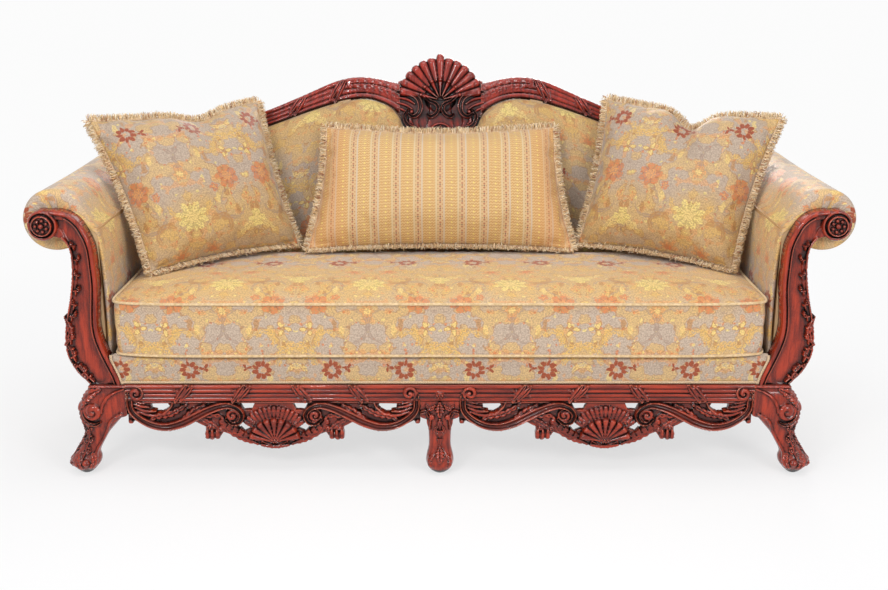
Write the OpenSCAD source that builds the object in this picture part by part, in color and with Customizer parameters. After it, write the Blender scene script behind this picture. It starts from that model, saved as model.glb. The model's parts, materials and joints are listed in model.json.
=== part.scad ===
// Cabriole sofa: a carved show-wood frame on five cabriole legs, with upholstered arms
// and back, a loose seat cushion and three loose fringed pillows.
// The origin is on the floor under the middle of the sofa, and the front faces -Y.

/* [Overall] */
// Width over the arm rolls
sofa_w = 2260; // [2160:5:2400]
// Depth from the front feet to the top of the back
sofa_d = 880; // [860:5:960]
// Slope of the back from upright, in degrees
rake = 12; // [9:0.5:15]
// Height of the arms
arm_h = 816; // [790:1:850]
// Length of the back along its slope, from the seat rails to the top of the crest
crest_h = 855; // [820:1:900]

/* [Seat rails] */
// Height of the underside of the rails
rail_z = 218; // [200:1:240]
// Height of the front and side rails
rail_h = 50; // [46:1:60]
// Thickness of the front rail
rail_t = 40; // [32:1:48]
// Thickness of the beam behind the front rail
beam_t = 37; // [30:1:45]
// Height of the beam and of the rear rail
beam_h = 82; // [74:1:84]
// Thickness of the side rails
side_rail_t = 40; // [32:1:48]
// Thickness of the rear rail
rear_rail_t = 33; // [26:1:36]
// Number of reeds on the front and side rails
reed_n = 4; // [3:1:5]
// How far the reeds stand proud of the rails
reed_proud = 5; // [3:0.5:6]
// Width of a cross brace
brace_w = 60; // [40:1:80]
// Height of a cross brace
brace_h = 32; // [25:1:45]
// Distance of each cross brace from the middle
brace_x = 330; // [280:5:400]

/* [Legs] */
// Width of a corner leg's block
block_w = 100; // [90:1:110]
// How far the blocks and the arm facings stand proud of the front rail
block_proud = 3; // [2:0.5:6]
// How far the front feet stand in front of the front rail
foot_reach = 28; // [22:1:34]
// How far a front foot stands out to the side
foot_out = 80; // [60:1:95]
// How far a rear foot stands out to the back
rear_foot_out = 85; // [50:1:110]
// How far the block reaches in past the inside face of the arm
leg_in = 37; // [30:1:45]
// Width of the middle leg's block
mid_block_w = 110; // [90:1:130]
// Thickness of the glide under each foot
glide_t = 3; // [2:0.5:5]
// Radius of the glides
glide_r = 13; // [9:1:16]

/* [Aprons] */
// Depth of the aprons below the rail
apron_h = 142; // [120:1:160]
// Thickness of an apron's fretted board
apron_t = 18; // [14:1:22]
// How far the apron's board sits behind the front of the rail
apron_set = 6; // [4:1:10]
// How far the carving stands proud of the apron's board
carve_t = 8; // [5:1:11]
// Length of a shell on an apron, from its base to its rim
apron_shell_r = 68; // [50:1:80]

/* [Arms] */
// Radius of the arm roll
roll_r = 82; // [74:1:90]
// Distance from the inside face of the arm to the middle of the roll
arm_set = 126; // [116:1:140]
// Thickness of the arm's frame
arm_frame_t = 45; // [38:1:52]
// Thickness of the padding on the inside of the arm
arm_pad_t = 18; // [12:1:24]
// Height of the arm's stuffing rail
stuff_rail_h = 42; // [30:1:55]
// Height of the arm's top rail
arm_rail_h = 60; // [45:1:70]
// Depth of the arm's posts
arm_post_d = 45; // [35:1:55]
// Thickness of the board that carries the roll
roll_board_t = 18; // [12:1:24]
// How far the roll's board reaches out past the frame
roll_board_w = 90; // [70:1:100]
// Thickness of the panel on the outside of the arm
panel_t = 12; // [8:1:16]
// Width of the arm facing
facing_w = 222; // [210:1:230]
// Thickness of the arm facing
facing_t = 45; // [36:1:55]
// Thickness of the moulding on the facing
facing_mould_t = 8; // [5:1:12]
// Width of the moulding on the facing
facing_mould_w = 12; // [8:1:18]
// How far the facing's inner foot sits inside the block's edge
facing_in = 11; // [6:1:16]
// How far the facing rises above the middle of the roll
facing_over = 33; // [20:1:40]
// Radius of the facing's volute
volute_r = 42; // [36:1:46]

/* [Back] */
// Thickness of the back's frame and top rail
back_t = 45; // [38:1:50]
// Distance of the top rail's ends inside the widest part of the arm rolls
top_rail_in = 48; // [30:1:80]
// Width of the crest between the two top rails
crest_w = 268; // [250:1:290]
// How far the carving of the crest stands proud
crest_proud = 14; // [8:1:20]
// Radius of the crest's medallion
medallion_r = 40; // [32:1:46]
// How far the reeds of the top rail stand proud
top_reed_proud = 6; // [4:0.5:9]
// Width of a back upright
upright_w = 42; // [32:1:55]
// Height of the back's stretcher
stretcher_h = 55; // [40:1:70]
// Distance of the stretcher above the seat rails, along the back
stretcher_z = 95; // [70:1:130]
// Thickness of the fabric panel on the outside of the back
back_panel_t = 6; // [4:1:9]
// Thickness of the back's padding at its fullest
back_pad_t = 70; // [50:1:80]
// Thickness of the back's padding at its edges
back_pad_edge = 14; // [8:1:24]
// Thickness of the webbing
web_t = 2; // [1.5:0.5:3]
// Width of a strip of webbing
web_w = 50; // [40:1:60]
// Number of strips of webbing on the back
web_n = 5; // [4:1:5]

/* [Seat] */
// Height of the seat deck
seat_z = 355; // [345:1:365]
// Thickness of the padding on the front of the seat
border_t = 35; // [26:1:42]
// Diameter of the seat spring wire
spring_d = 4; // [3:0.5:5]
// Number of seat springs
spring_n = 9; // [7:1:11]
// Width of a seat spring
spring_w = 54; // [44:1:60]
// Number of bends in a seat spring
spring_bends = 14; // [10:1:18]
// Height of a spring clip above the rail
clip_h = 8; // [7:0.5:11]
// Thickness of the dust cover
dust_t = 1.5; // [1:0.5:3]
// Height of the boxing of the seat cushion
cushion_h = 150; // [130:1:165]
// How much the seat cushion crowns above its upper welt
cushion_crown = 28; // [15:1:40]
// How far the cushion stands out in front of the front rail
cushion_over = 18; // [8:1:24]
// How far the cushion's sides draw in between its corners
cushion_draw = 7; // [3:1:12]
// Radius of the cushion's welts
welt_r = 4; // [3:0.5:6]

/* [Pillows] */
// Width of a side pillow without its fringe
side_pillow_w = 512; // [480:5:540]
// Height of a side pillow without its fringe
side_pillow_h = 478; // [440:2:500]
// Thickness of a side pillow
side_pillow_t = 168; // [130:2:190]
// How far the left pillow turns to face the middle, in degrees
left_yaw = 35; // [20:1:36]
// How far the right pillow turns to face the middle, in degrees
right_yaw = 27; // [20:1:36]
// How far a side pillow leans back, in degrees
side_pillow_lean = 28; // [20:1:32]
// How far the left pillow tips outwards in its own plane, in degrees
left_tip = 2; // [0:1:10]
// How far the right pillow tips outwards in its own plane, in degrees
right_tip = 3; // [0:1:10]
// How much wider a side pillow is at its top than at its middle
side_taper_share = 0.06; // [0:0.01:0.08]
// Height of the lumbar pillow without its fringe
lumbar_h = 400; // [330:2:420]
// Thickness of the lumbar pillow
lumbar_t = 168; // [120:2:170]
// How far the lumbar pillow leans back, in degrees
lumbar_lean = 33; // [18:1:36]
// How much wider the lumbar pillow is at its foot than at its middle
lumbar_taper_share = 0.06; // [0:0.005:0.08]
// How far a pillow's sides draw in between its corners
pillow_draw = 16; // [8:1:24]
// Width of the fringe
fringe_w = 25; // [18:1:32]
// Width that is left of the fringe where the pillow stands on it
fringe_crushed_w = 4; // [2:1:8]
// Thickness of the fringe
fringe_t = 7; // [5:1:10]

/* [Fastenings] */
// Length of the sides of a corner block
corner_block = 120; // [105:1:130]
// Height of a corner block
corner_block_h = 40; // [32:1:48]
// Diameter of a corner block's screw
screw_d = 5; // [4:0.5:6]
// Diameter of a screw's head
screw_head_d = 10; // [9:0.5:12]
// Depth to which a screw goes into the rail
screw_in = 22; // [16:1:26]

/* [Hidden] */
$fn = 48;

// Clearance of the loose cushion and pillows from what they rest on
rest_gap = 1;
// Clearance of the loose pillows from the arms and the back
lean_gap = 4;
// Clearance between the seat cushion and the arms and back
side_gap = 3;
// Clearance between the lumbar pillow and the side pillows
pillow_gap = 2;
// Clearance round a screw
screw_fit = 0.1;
// Gap between the padding and the show wood that frames it
wood_gap = 3;
// Thickness of a pillow at the seam round its rim
seam_t = 3;
// Overrun of the cutters
cut = 5;
// Length that is longer than any part of the sofa, for cutting
far = 4000;

half_w = sofa_w / 2;
half_d = sofa_d / 2;
rail_top = rail_z + rail_h;
front_y = -half_d + foot_reach;
beam_y = front_y + rail_t;
block_y0 = front_y - block_proud;
block_y1 = beam_y + beam_t;
block_y = (block_y0 + block_y1) / 2;
roll_x = half_w - roll_r;
roll_z = arm_h - roll_r;
arm_in = roll_x - arm_set;
block_x0 = arm_in - leg_in;
block_x1 = block_x0 + block_w;
block_x = (block_x0 + block_x1) / 2;
back_y = half_d - crest_h * sin(rake);
frame_y = back_y - back_t;
pad_plane = -(back_t + web_t);
top_rail_x = half_w - top_rail_in;
crest_half = crest_w / 2;
frame_x0 = arm_in + arm_pad_t;
frame_x1 = frame_x0 + arm_frame_t;
beam_top = rail_z + beam_h;

// Point on a smooth curve between b and c, with neighbours a and d
function spline_point(a, b, c, d, t) =
  0.5 * (2 * b + (c - a) * t + (2 * a - 5 * b + 4 * c - d) * t * t
    + (3 * b - a - 3 * c + d) * t * t * t);
// Smooth curve through the points p, with n steps between each two
function curve(p, n) = concat(
  [for (i = [0 : len(p) - 2]) for (k = [0 : n - 1])
    spline_point(p[max(i - 1, 0)], p[i], p[i + 1], p[min(i + 2, len(p) - 1)], k / n)],
  [p[len(p) - 1]]);
// Points of an outline whose shares are of a width and a height
function sized(shares, w, h) = [for (s = shares) [s[0] * w, s[1] * h]];
function reversed(p) = [for (i = [len(p) - 1 : -1 : 0]) p[i]];
function moved(p, x, y) = [for (q = p) [q[0] + x, q[1] + y]];
function swapped(p) = [for (q = p) [q[1], q[0]]];

// Ring of m points round a centre, with half sizes hx and hy and squareness e
function ring(x, y, z, hx, hy, e, m) = [for (k = [0 : m - 1])
  let (a = 360 * k / m, c = cos(a), s = sin(a))
  [x + hx * sign(c) * pow(abs(c), 2 / e), y + hy * sign(s) * pow(abs(s), 2 / e), z]];

// Closed skin over a row of rings that all have the same number of points
module skin(rings, loop = false) {
  n = len(rings);
  m = len(rings[0]);
  last = loop ? n - 1 : n - 2;
  sides = [for (i = [0 : last]) for (k = [0 : m - 1])
    let (a = i * m + k, b = i * m + (k + 1) % m,
      c = ((i + 1) % n) * m + k, d = ((i + 1) % n) * m + (k + 1) % m)
    each [[c, d, b], [c, b, a]]];
  foot = [for (k = [1 : m - 2]) [0, k, k + 1]];
  head = [for (k = [1 : m - 2]) [(n - 1) * m, (n - 1) * m + k + 1, (n - 1) * m + k]];
  polyhedron([for (r = rings) each r], loop ? sides : concat(sides, foot, head), 4);
}

// Shares from -1 to 1 of the lines of a sheet with n cells, closer together near its rims
function lines(n) = [for (i = [0 : n]) sin(90 * (2 * i / n - 1))];
// Places of the rim of a grid, anticlockwise from its first corner
function rim(nu, nv) = concat(
  [for (i = [0 : nu - 1]) [i, 0]], [for (j = [0 : nv - 1]) [nu, j]],
  [for (i = [nu : -1 : 1]) [i, nv]], [for (j = [nv : -1 : 1]) [0, j]]);
// Solid between an upper and a lower sheet, with rings of side points between their rims
module stuffed(top, bottom, sides) {
  nu = len(top) - 1;
  nv = len(top[0]) - 1;
  cols = nv + 1;
  count = (nu + 1) * cols;
  loop = rim(nu, nv);
  m = len(loop);
  layers = len(sides);
  edge_top = [for (q = loop) q[0] * cols + q[1]];
  edge_bottom = [for (q = loop) count + q[0] * cols + q[1]];
  rows = concat([edge_top],
    [for (l = [0 : 1 : layers - 1]) [for (k = [0 : m - 1]) 2 * count + l * m + k]],
    [edge_bottom]);
  faces_top = [for (i = [0 : nu - 1]) for (j = [0 : nv - 1])
    let (a = i * cols + j, b = a + cols) each [[a, b + 1, b], [a, a + 1, b + 1]]];
  faces_bottom = [for (f = faces_top) [count + f[0], count + f[2], count + f[1]]];
  faces_side = [for (l = [0 : len(rows) - 2]) for (k = [0 : m - 1])
    let (a = rows[l][k], b = rows[l][(k + 1) % m], c = rows[l + 1][(k + 1) % m], d = rows[l + 1][k])
    each [[a, b, c], [a, c, d]]];
  polyhedron(concat([for (r = top) each r], [for (r = bottom) each r], [for (r = sides) each r]),
    concat(faces_top, faces_bottom, faces_side), 4);
}

module on_side(side) {
  if (side < 0) mirror([1, 0, 0]) children();
  else children();
}

// Places its children in the sloping frame of the back: y = 0 is its rear face
module on_back() translate([0, back_y, rail_top]) rotate([-rake, 0, 0]) children();

// Draws an outline in x and z, and gives it a thickness in y from y0 to y1
module board(y0, y1) translate([0, y1, 0]) rotate([90, 0, 0]) linear_extrude(y1 - y0) children();

module block(x0, x1, y0, y1, z0, z1) translate([x0, y0, z0]) cube([x1 - x0, y1 - y0, z1 - z0]);

// Everything that is less than a distance in front of the back's frame, for trimming the arms
module behind_back(ahead = 0) on_back() block(-half_w, half_w, -back_t - ahead, far, -far, far);

// Top and bottom edges of the top rail: shares of its run from the crest and of the back
top_edge_shares = [[0, 0.886], [0.066, 0.905], [0.136, 0.913], [0.215, 0.898], [0.336, 0.841],
  [0.458, 0.786], [0.597, 0.739], [0.734, 0.699], [0.871, 0.664], [1, 0.637]];
low_edge_shares = [[0, 0.768], [0.033, 0.804], [0.101, 0.832], [0.171, 0.829], [0.239, 0.811],
  [0.333, 0.777], [0.451, 0.729], [0.597, 0.681], [0.734, 0.641], [0.871, 0.607], [1, 0.581]];
top_run = top_rail_x - crest_half;
top_edge = moved(curve(sized(top_edge_shares, top_run, crest_h), 4), crest_half, 0);
low_edge = moved(curve(sized(low_edge_shares, top_run, crest_h), 4), crest_half, 0);
// Height of the top rail's lower edge at a distance from the middle
function under_rail(x) = lookup(x, low_edge);
// Corners of a member that stands under the top rail between x0 and x1
function under_rail_points(x0, x1) = concat([[x0, under_rail(x0)]],
  [for (p = low_edge) if (p[0] > x0 && p[0] < x1) p], [[x1, under_rail(x1)]]);

// Inner and outer edges of the arm facing: shares of its width and height, from its inner foot
facing_h = roll_z + facing_over - rail_top;
facing_x0 = block_x0 + facing_in;
facing_in_shares = [[0, 0], [0.04, 0.06], [0.131, 0.158], [0.207, 0.256], [0.234, 0.336],
  [0.225, 0.43], [0.198, 0.567], [0.203, 0.669], [0.221, 0.79], [0.288, 0.876],
  [0.374, 0.94], [0.509, 0.986], [0.689, 1]];
facing_out_shares = [[0.4, 0], [0.46, 0.03], [0.545, 0.072], [0.635, 0.15], [0.662, 0.218],
  [0.653, 0.306], [0.617, 0.394], [0.568, 0.48], [0.523, 0.585], [0.497, 0.7],
  [0.518, 0.79], [0.599, 0.844]];
facing_in_edge = moved(curve(sized(facing_in_shares, facing_w, facing_h), 3), facing_x0, rail_top);
facing_out_edge = moved(curve(sized(facing_out_shares, facing_w, facing_h), 3), facing_x0, rail_top);
volute_x = facing_x0 + facing_w - volute_r;
volute_z = rail_top + facing_h - volute_r;
facing_y1 = block_y0 + facing_t;

// Inside face of the arm's padding: shares of the padding's thickness and of the arm's height
arm_pad_z0 = rail_top + 0.35 * stuff_rail_h;
arm_inner_shares = [[1, 0], [0.5, 0.038], [0.05, 0.26], [0, 0.5], [0.15, 0.72], [0.4, 0.83],
  [0.85, 0.935], [1.6, 1.005]];
arm_inner = moved(sized(arm_inner_shares, arm_pad_t, roll_z - arm_pad_z0), arm_in, arm_pad_z0);
// The roll is joined at this angle, and its underside ends at the other
roll_start_angle = 151;
roll_end_angle = -122;
roll_arc = [for (k = [0 : 26]) let (a = roll_start_angle + (roll_end_angle - roll_start_angle) * k / 26)
  [roll_x + roll_r * cos(a), roll_z + roll_r * sin(a)]];
arm_rail_z1 = roll_z - 0.35 * roll_r;
arm_rail_z0 = arm_rail_z1 - arm_rail_h;
neck_z = roll_z + roll_r * sin(roll_end_angle) - 0.08 * roll_r;
// Limit of what stands beside the arm, as distance from the middle by height
arm_limit = swapped(concat(arm_inner,
  [for (p = roll_arc) if (p[0] < roll_x && p[1] > roll_z) p], [[roll_x, arm_h]]));

// Seat cushion
cushion_z0 = seat_z + rest_gap;
cushion_z1 = cushion_z0 + cushion_h;
cushion_x = arm_in - side_gap - 2 * welt_r;
cushion_y0 = front_y - cushion_over + 2 * welt_r;
// Front of the fullest padding of the back, at the level of the cushion's underside
seat_back_y = back_y + (pad_plane - back_pad_t) / cos(rake) + (cushion_z0 - rail_top) * tan(rake);
cushion_y1 = seat_back_y - side_gap - 2 * welt_r;
cushion_hd = (cushion_y1 - cushion_y0) / 2;
cushion_cy = (cushion_y1 + cushion_y0) / 2;
cushion_round = 6 * welt_r;
cushion_u = lines(20);
cushion_v = lines(10);
// Plan of the cushion at the share u, v of its half length and half depth
function cushion_xy(u, v) = let (r = cushion_round * pow(abs(u * v), 10))
  [u * (cushion_x - cushion_draw * (1 - v * v) - r),
    cushion_cy + v * (cushion_hd - cushion_draw * (1 - u * u) - r)];
function cushion_rise(u, v) = cushion_crown * pow((1 - pow(u, 6)) * (1 - pow(v, 4)), 0.7);
function cushion_top(u, v) = let (p = cushion_xy(u, v)) [p[0], p[1], cushion_z1 + cushion_rise(u, v)];
function cushion_low(u, v) = let (p = cushion_xy(u, v)) [p[0], p[1], cushion_z0];
// Height of the cushion's crown at a place on the seat
function crown_at(x, y) =
  let (u = min(1, abs(x) / cushion_x), v = min(1, abs(y - cushion_cy) / cushion_hd))
  cushion_z1 + cushion_rise(u, v);
// Outward direction of the rim of a cushion at the k-th of its points
function rim_out(p, k) = let (m = len(p), a = p[(k + m - 1) % m], b = p[(k + 1) % m],
  d = [b[0] - a[0], b[1] - a[1]], l = norm(d)) [d[1] / l, -d[0] / l];
cushion_rim = [for (q = rim(len(cushion_u) - 1, len(cushion_v) - 1))
  cushion_xy(cushion_u[q[0]], cushion_v[q[1]])];

// Pillows: x across, z up from the lower rim, and the front towards -y
pillow_s = lines(12);
pillow_loop = [for (q = rim(12, 12)) [pillow_s[q[0]], pillow_s[q[1]]]];
// Share of a pillow's thickness that is in front of its seam
front_share = 0.6;
function pillow_xz(w, h, taper, u, v) = [u * (w / 2 * (1 + taper * v) - pillow_draw * (1 - v * v)),
  h / 2 + v * (h / 2 - pillow_draw * (1 - u * u))];
function pillow_at(w, h, t, taper, face, u, v) = let (p = pillow_xz(w, h, taper, u, v),
  full = (t - seam_t) * (face < 0 ? front_share : 1 - front_share))
  [p[0], face * (seam_t / 2 + full * pow((1 - u * u) * (1 - v * v), 0.42)), p[1]];
function fringe_at(v) = v < -0.99 ? fringe_crushed_w : fringe_w;
function turned(p, yaw, lean, tip) = let (
  x1 = p[0] * cos(tip) + p[2] * sin(tip), z1 = -p[0] * sin(tip) + p[2] * cos(tip),
  y2 = p[1] * cos(lean) + z1 * sin(lean), z2 = -p[1] * sin(lean) + z1 * cos(lean))
  [x1 * cos(yaw) - y2 * sin(yaw), x1 * sin(yaw) + y2 * cos(yaw), z2];
// Outline of the pillow with its fringe, and its fullest points, for placing it
function pillow_feelers(w, h, t, taper) = concat(
  [for (q = pillow_loop) let (p = pillow_xz(w, h, taper, q[0], q[1]))
    [p[0] + q[0] * fringe_w, 0, p[1] + q[1] * fringe_at(q[1])]],
  [for (u = [-0.8 : 0.2 : 0.8]) for (v = [-0.8 : 0.2 : 0.8]) for (f = [-1, 1])
    pillow_at(w, h, t, taper, f, u, v)]);
// Distance that a point may still move back before it meets the padding of the back
function room_behind(p) = ((pad_plane - back_pad_t) - ((p[1] - back_y) * cos(rake)
  - (p[2] - rail_top) * sin(rake))) / cos(rake);
// A pillow's build is its width, height, thickness and taper, and its pose is its yaw, its
// lean, its tip and the side it is on. Its points, turned to its pose but not yet set down:
function posed(build, pose) = [for (p = pillow_feelers(build[0], build[1], build[2], build[3]))
  turned(p, pose[0], pose[1], pose[2])];
// Place of a pillow that rests on the cushion, against the back and, if side isn't 0, an arm
function pillow_place(build, pose) = let (
  raw = posed(build, pose),
  side = pose[3],
  lift = cushion_z1 + cushion_crown - min([for (p = raw) p[2]]),
  high = [for (p = raw) p + [0, 0, lift]],
  back = min([for (p = high) room_behind(p)]) - lean_gap,
  out = side == 0 ? 0 : side * (min([for (p = high)
    lookup(p[2] - cushion_crown, arm_limit) - side * p[0]]) - lean_gap),
  set = [for (p = high) p + [out, back, 0]],
  drop = min([for (p = set) p[2] - crown_at(p[0], p[1])]) - rest_gap)
  [out, back, lift - drop];
side_build = [side_pillow_w, side_pillow_h, side_pillow_t, side_taper_share];
pose_left = [left_yaw, side_pillow_lean, -left_tip, -1];
pose_right = [-right_yaw, side_pillow_lean, right_tip, 1];
place_left = pillow_place(side_build, pose_left);
place_right = pillow_place(side_build, pose_right);
free_half = min(concat([for (p = posed(side_build, pose_left)) -(p[0] + place_left[0])],
  [for (p = posed(side_build, pose_right)) p[0] + place_right[0]]));
lumbar_w = 2 * (free_half - pillow_gap - fringe_w) / (1 + lumbar_taper_share);
lumbar_build = [lumbar_w, lumbar_h, lumbar_t, -lumbar_taper_share];
pose_lumbar = [0, lumbar_lean, 0, 0];
place_lumbar = pillow_place(lumbar_build, pose_lumbar);

// Bar along x from x0 to x1 with its front at y = 0, and reeds along that front
module reeded_bar(x0, x1, t) {
  pitch = rail_h / reed_n;
  reed_r = pitch / 2;
  block(x0, x1, 0, t, rail_z, rail_top);
  for (k = [0 : reed_n - 1])
    translate([x0, reed_r - reed_proud, rail_z + pitch * (k + 0.5)])
      rotate([0, 90, 0]) cylinder(r = reed_r, h = x1 - x0, $fn = 24);
}

module front_rail() color("firebrick")
  translate([0, front_y, 0]) reeded_bar(-block_x0, block_x0, rail_t);

module seat_front_beam() color("burlywood") difference() {
  block(-block_x0, block_x0, beam_y, block_y1, rail_z, beam_top);
  at_corners() screw_pair(screw_fit);
}

module side_rail(side) color("firebrick") difference() {
  on_side(side) translate([block_x1, 0, 0]) rotate([0, 0, 90])
    reeded_bar(block_y1, frame_y, side_rail_t);
  at_corners() screw_pair(screw_fit);
}
module side_rail_left() side_rail(-1);
module side_rail_right() side_rail(1);

module rear_rail() color("burlywood") difference() {
  block(-block_x0, block_x0, frame_y, frame_y + rear_rail_t, rail_z, beam_top);
  at_corners() screw_pair(screw_fit);
}

module seat_braces() color("burlywood")
  for (s = [-1, 1])
    block(s * brace_x - brace_w / 2, s * brace_x + brace_w / 2, block_y1, frame_y,
      rail_z, rail_z + brace_h);

// The four inner corners of the seat frame, each with x towards the side rail
module at_corners()
  for (s = [-1, 1]) for (f = [0, 1])
    on_side(s) translate([block_x1 - side_rail_t, f == 0 ? block_y1 : frame_y,
      rail_z + corner_block_h / 2]) mirror([0, f, 0]) children();
// How far along its block each screw stands, and how deep its head is sunk
screw_at = 0.66 * corner_block;
screw_seat = (corner_block - screw_at) / 2;
// Screw along z through a corner block, which ends at z = 0, with its head or its head's bore
module screw(fit, head_h) {
  translate([0, 0, -screw_seat]) cylinder(d = screw_d + 2 * fit, h = screw_seat + screw_in + fit);
  translate([0, 0, -screw_seat - head_h]) cylinder(d = screw_head_d + 2 * fit, h = head_h);
}
module screw_pair(fit, head_h = screw_head_d / 3) {
  translate([0, screw_at, 0]) rotate([0, 90, 0]) screw(fit, head_h);
  translate([-screw_at, 0, 0]) rotate([90, 0, 0]) screw(fit, head_h);
}

module corner_blocks() color("burlywood") at_corners() difference() {
  translate([0, 0, -corner_block_h / 2]) linear_extrude(corner_block_h)
    polygon([[0, 0], [0, corner_block], [-corner_block, 0]]);
  screw_pair(screw_fit, corner_block);
}

module corner_screws() color("silver") at_corners() screw_pair(0);

module dust_cover() color("dimgray")
  block(-block_x1, block_x1, block_y1, frame_y, rail_z - dust_t, rail_z);

// Rings of a leg: height, share of the way out, half width, half depth and squareness.
// Heights are shares of the leg's, and half sizes are shares of its block's
front_leg_shares = [[0.05, 1, 0.29, 0.36, 2], [0.11, 1, 0.41, 0.51, 2.2], [0.165, 0.95, 0.4, 0.5, 2.2],
  [0.24, 0.88, 0.32, 0.4, 2.2], [0.36, 0.66, 0.305, 0.38, 2.4], [0.45, 0.5, 0.325, 0.4, 2.6],
  [0.56, 0.37, 0.475, 0.5, 3], [0.64, 0.295, 0.585, 0.55, 3], [0.75, 0.25, 0.6, 0.55, 3.4],
  [0.87, 0.16, 0.555, 0.52, 4], [0.96, 0, 0.46, 0.46, 4]];
mid_leg_shares = [[0.06, 1, 0.28, 0.38, 2], [0.14, 1, 0.35, 0.48, 2.2], [0.22, 0.9, 0.35, 0.47, 2.2],
  [0.36, 0.6, 0.29, 0.4, 2.4], [0.5, 0.4, 0.29, 0.38, 2.6], [0.62, 0.3, 0.31, 0.4, 2.6],
  [0.75, 0.2, 0.38, 0.46, 3], [0.88, 0.1, 0.47, 0.48, 4], [0.97, 0, 0.47, 0.47, 4]];
rear_leg_shares = [[0.06, 1, 0.27, 0.6, 2], [0.25, 0.78, 0.24, 0.53, 2.4], [0.5, 0.42, 0.28, 0.5, 3],
  [0.62, 0.22, 0.38, 0.48, 3.4], [0.75, 0, 0.44, 0.46, 4]];
// Shares of a leg's height at which its block starts
block_from_share = 0.63;
sole_share = 0.62;
block_d = block_y1 - block_y0;
foot_fwd = block_y + half_d - front_leg_shares[1][3] * block_d;
mid_foot_fwd = block_y + half_d - mid_leg_shares[1][3] * block_d;
rear_d = back_y - frame_y;
rear_leg_y = (back_y + frame_y) / 2;

// Leg of height h round a block of size w by d, whose foot stands out by fx and fy
module leg(shares, h, w, d, fx, fy) {
  s0 = shares[0];
  sole = ring(fx, fy, glide_t, sole_share * s0[2] * w, sole_share * s0[3] * d, s0[4], 16);
  skin(concat([sole], [for (s = shares)
    ring(fx * s[1], fy * s[1], h * s[0], s[2] * w, s[3] * d, s[4], 16)]));
  block(-w / 2, w / 2, -d / 2, d / 2, block_from_share * h, h);
}
module front_leg(side) color("firebrick") on_side(side) translate([block_x, block_y, 0])
  leg(front_leg_shares, rail_top, block_w, block_d, foot_out, -foot_fwd);
module front_leg_left() front_leg(-1);
module front_leg_right() front_leg(1);
module centre_leg() color("firebrick") translate([0, block_y, 0])
  leg(mid_leg_shares, rail_z, mid_block_w, block_d, 0, -mid_foot_fwd);
module rear_leg(side) color("sienna") on_side(side) translate([block_x, rear_leg_y, 0])
  leg(rear_leg_shares, rail_top, block_w, rear_d, 0, rear_foot_out);
module rear_leg_left() rear_leg(-1);
module rear_leg_right() rear_leg(1);

module foot_glides() color("dimgray") {
  for (s = [-1, 1]) {
    translate([s * (block_x + foot_out), block_y - foot_fwd, 0]) cylinder(r = glide_r, h = glide_t);
    translate([s * block_x, rear_leg_y + rear_foot_out, 0]) cylinder(r = glide_r, h = glide_t);
  }
  translate([0, block_y - mid_foot_fwd, 0]) cylinder(r = glide_r, h = glide_t);
}

// Carved work drawn in x and z: a stroke whose points are [x, z, half width]
module stroke(p, y0, y1)
  for (i = [0 : len(p) - 2])
    hull() for (q = [p[i], p[i + 1]])
      translate([q[0], y1, q[1]]) rotate([90, 0, 0]) cylinder(r = q[2], h = y1 - y0, $fn = 10);
// Fan of n ribs from a base at 0, 0 to a rim of half width w and height h
module shell(n, w, h, base_r, y0, y1) {
  for (k = [0 : n - 1])
    let (a = 84 * (2 * k / (n - 1) - 1), rib = 2.3 * w / n)
      stroke([[0, 0.12 * h, base_r * 0.5],
        [(w - rib * 0.5) * sin(a), 0.36 * h + (0.64 * h - rib * 0.5) * cos(a), rib * 0.5]], y0, y1);
  translate([0, y1, 0.1 * h]) rotate([90, 0, 0]) cylinder(r = base_r, h = y1 - y0, $fn = 16);
}

// Aprons: shares of the width from the outer end, and of the depth below the rail
apron_w = block_x0 - mid_block_w / 2;
apron_edge_shares = [[0, 0.458], [0.025, 0.437], [0.075, 0.592], [0.108, 0.634], [0.143, 0.613],
  [0.178, 0.542], [0.219, 0.437], [0.236, 0.479], [0.263, 0.563], [0.264, 0.782], [0.284, 0.83],
  [0.312, 0.782], [0.324, 0.676], [0.364, 0.782], [0.414, 0.915], [0.465, 0.986]];
apron_gap_shares = [
  [[0.075, 0.07], [0.135, 0.06], [0.15, 0.16], [0.125, 0.27], [0.085, 0.26]],
  [[0.172, 0.04], [0.235, 0.04], [0.215, 0.16], [0.185, 0.17]],
  [[0.29, 0.36], [0.315, 0.25], [0.31, 0.42]],
  [[0.395, 0.05], [0.43, 0.05], [0.415, 0.2], [0.4, 0.17]],
  [[0.385, 0.55], [0.42, 0.42], [0.43, 0.52], [0.41, 0.66]]];
apron_scroll_shares = [[0.02, 0.09, 0.05], [0.022, 0.22, 0.06], [0.05, 0.4, 0.065], [0.1, 0.52, 0.07],
  [0.15, 0.53, 0.07], [0.21, 0.39, 0.065], [0.286, 0.19, 0.055], [0.34, 0.1, 0.05],
  [0.378, 0.17, 0.05], [0.385, 0.33, 0.05], [0.362, 0.42, 0.06]];
apron_swag_shares = [[0.295, 0.62, 0.06], [0.345, 0.6, 0.07], [0.39, 0.72, 0.08], [0.44, 0.85, 0.075]];
function apron_points(shares) = [for (s = shares) [s[0] * apron_w, -s[1] * apron_h]];
function apron_stroke(shares) = [for (s = shares) [s[0] * apron_w, -s[1] * apron_h, s[2] * apron_h]];
module both_ends() {
  children();
  translate([apron_w, 0, 0]) mirror([1, 0, 0]) children();
}
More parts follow.
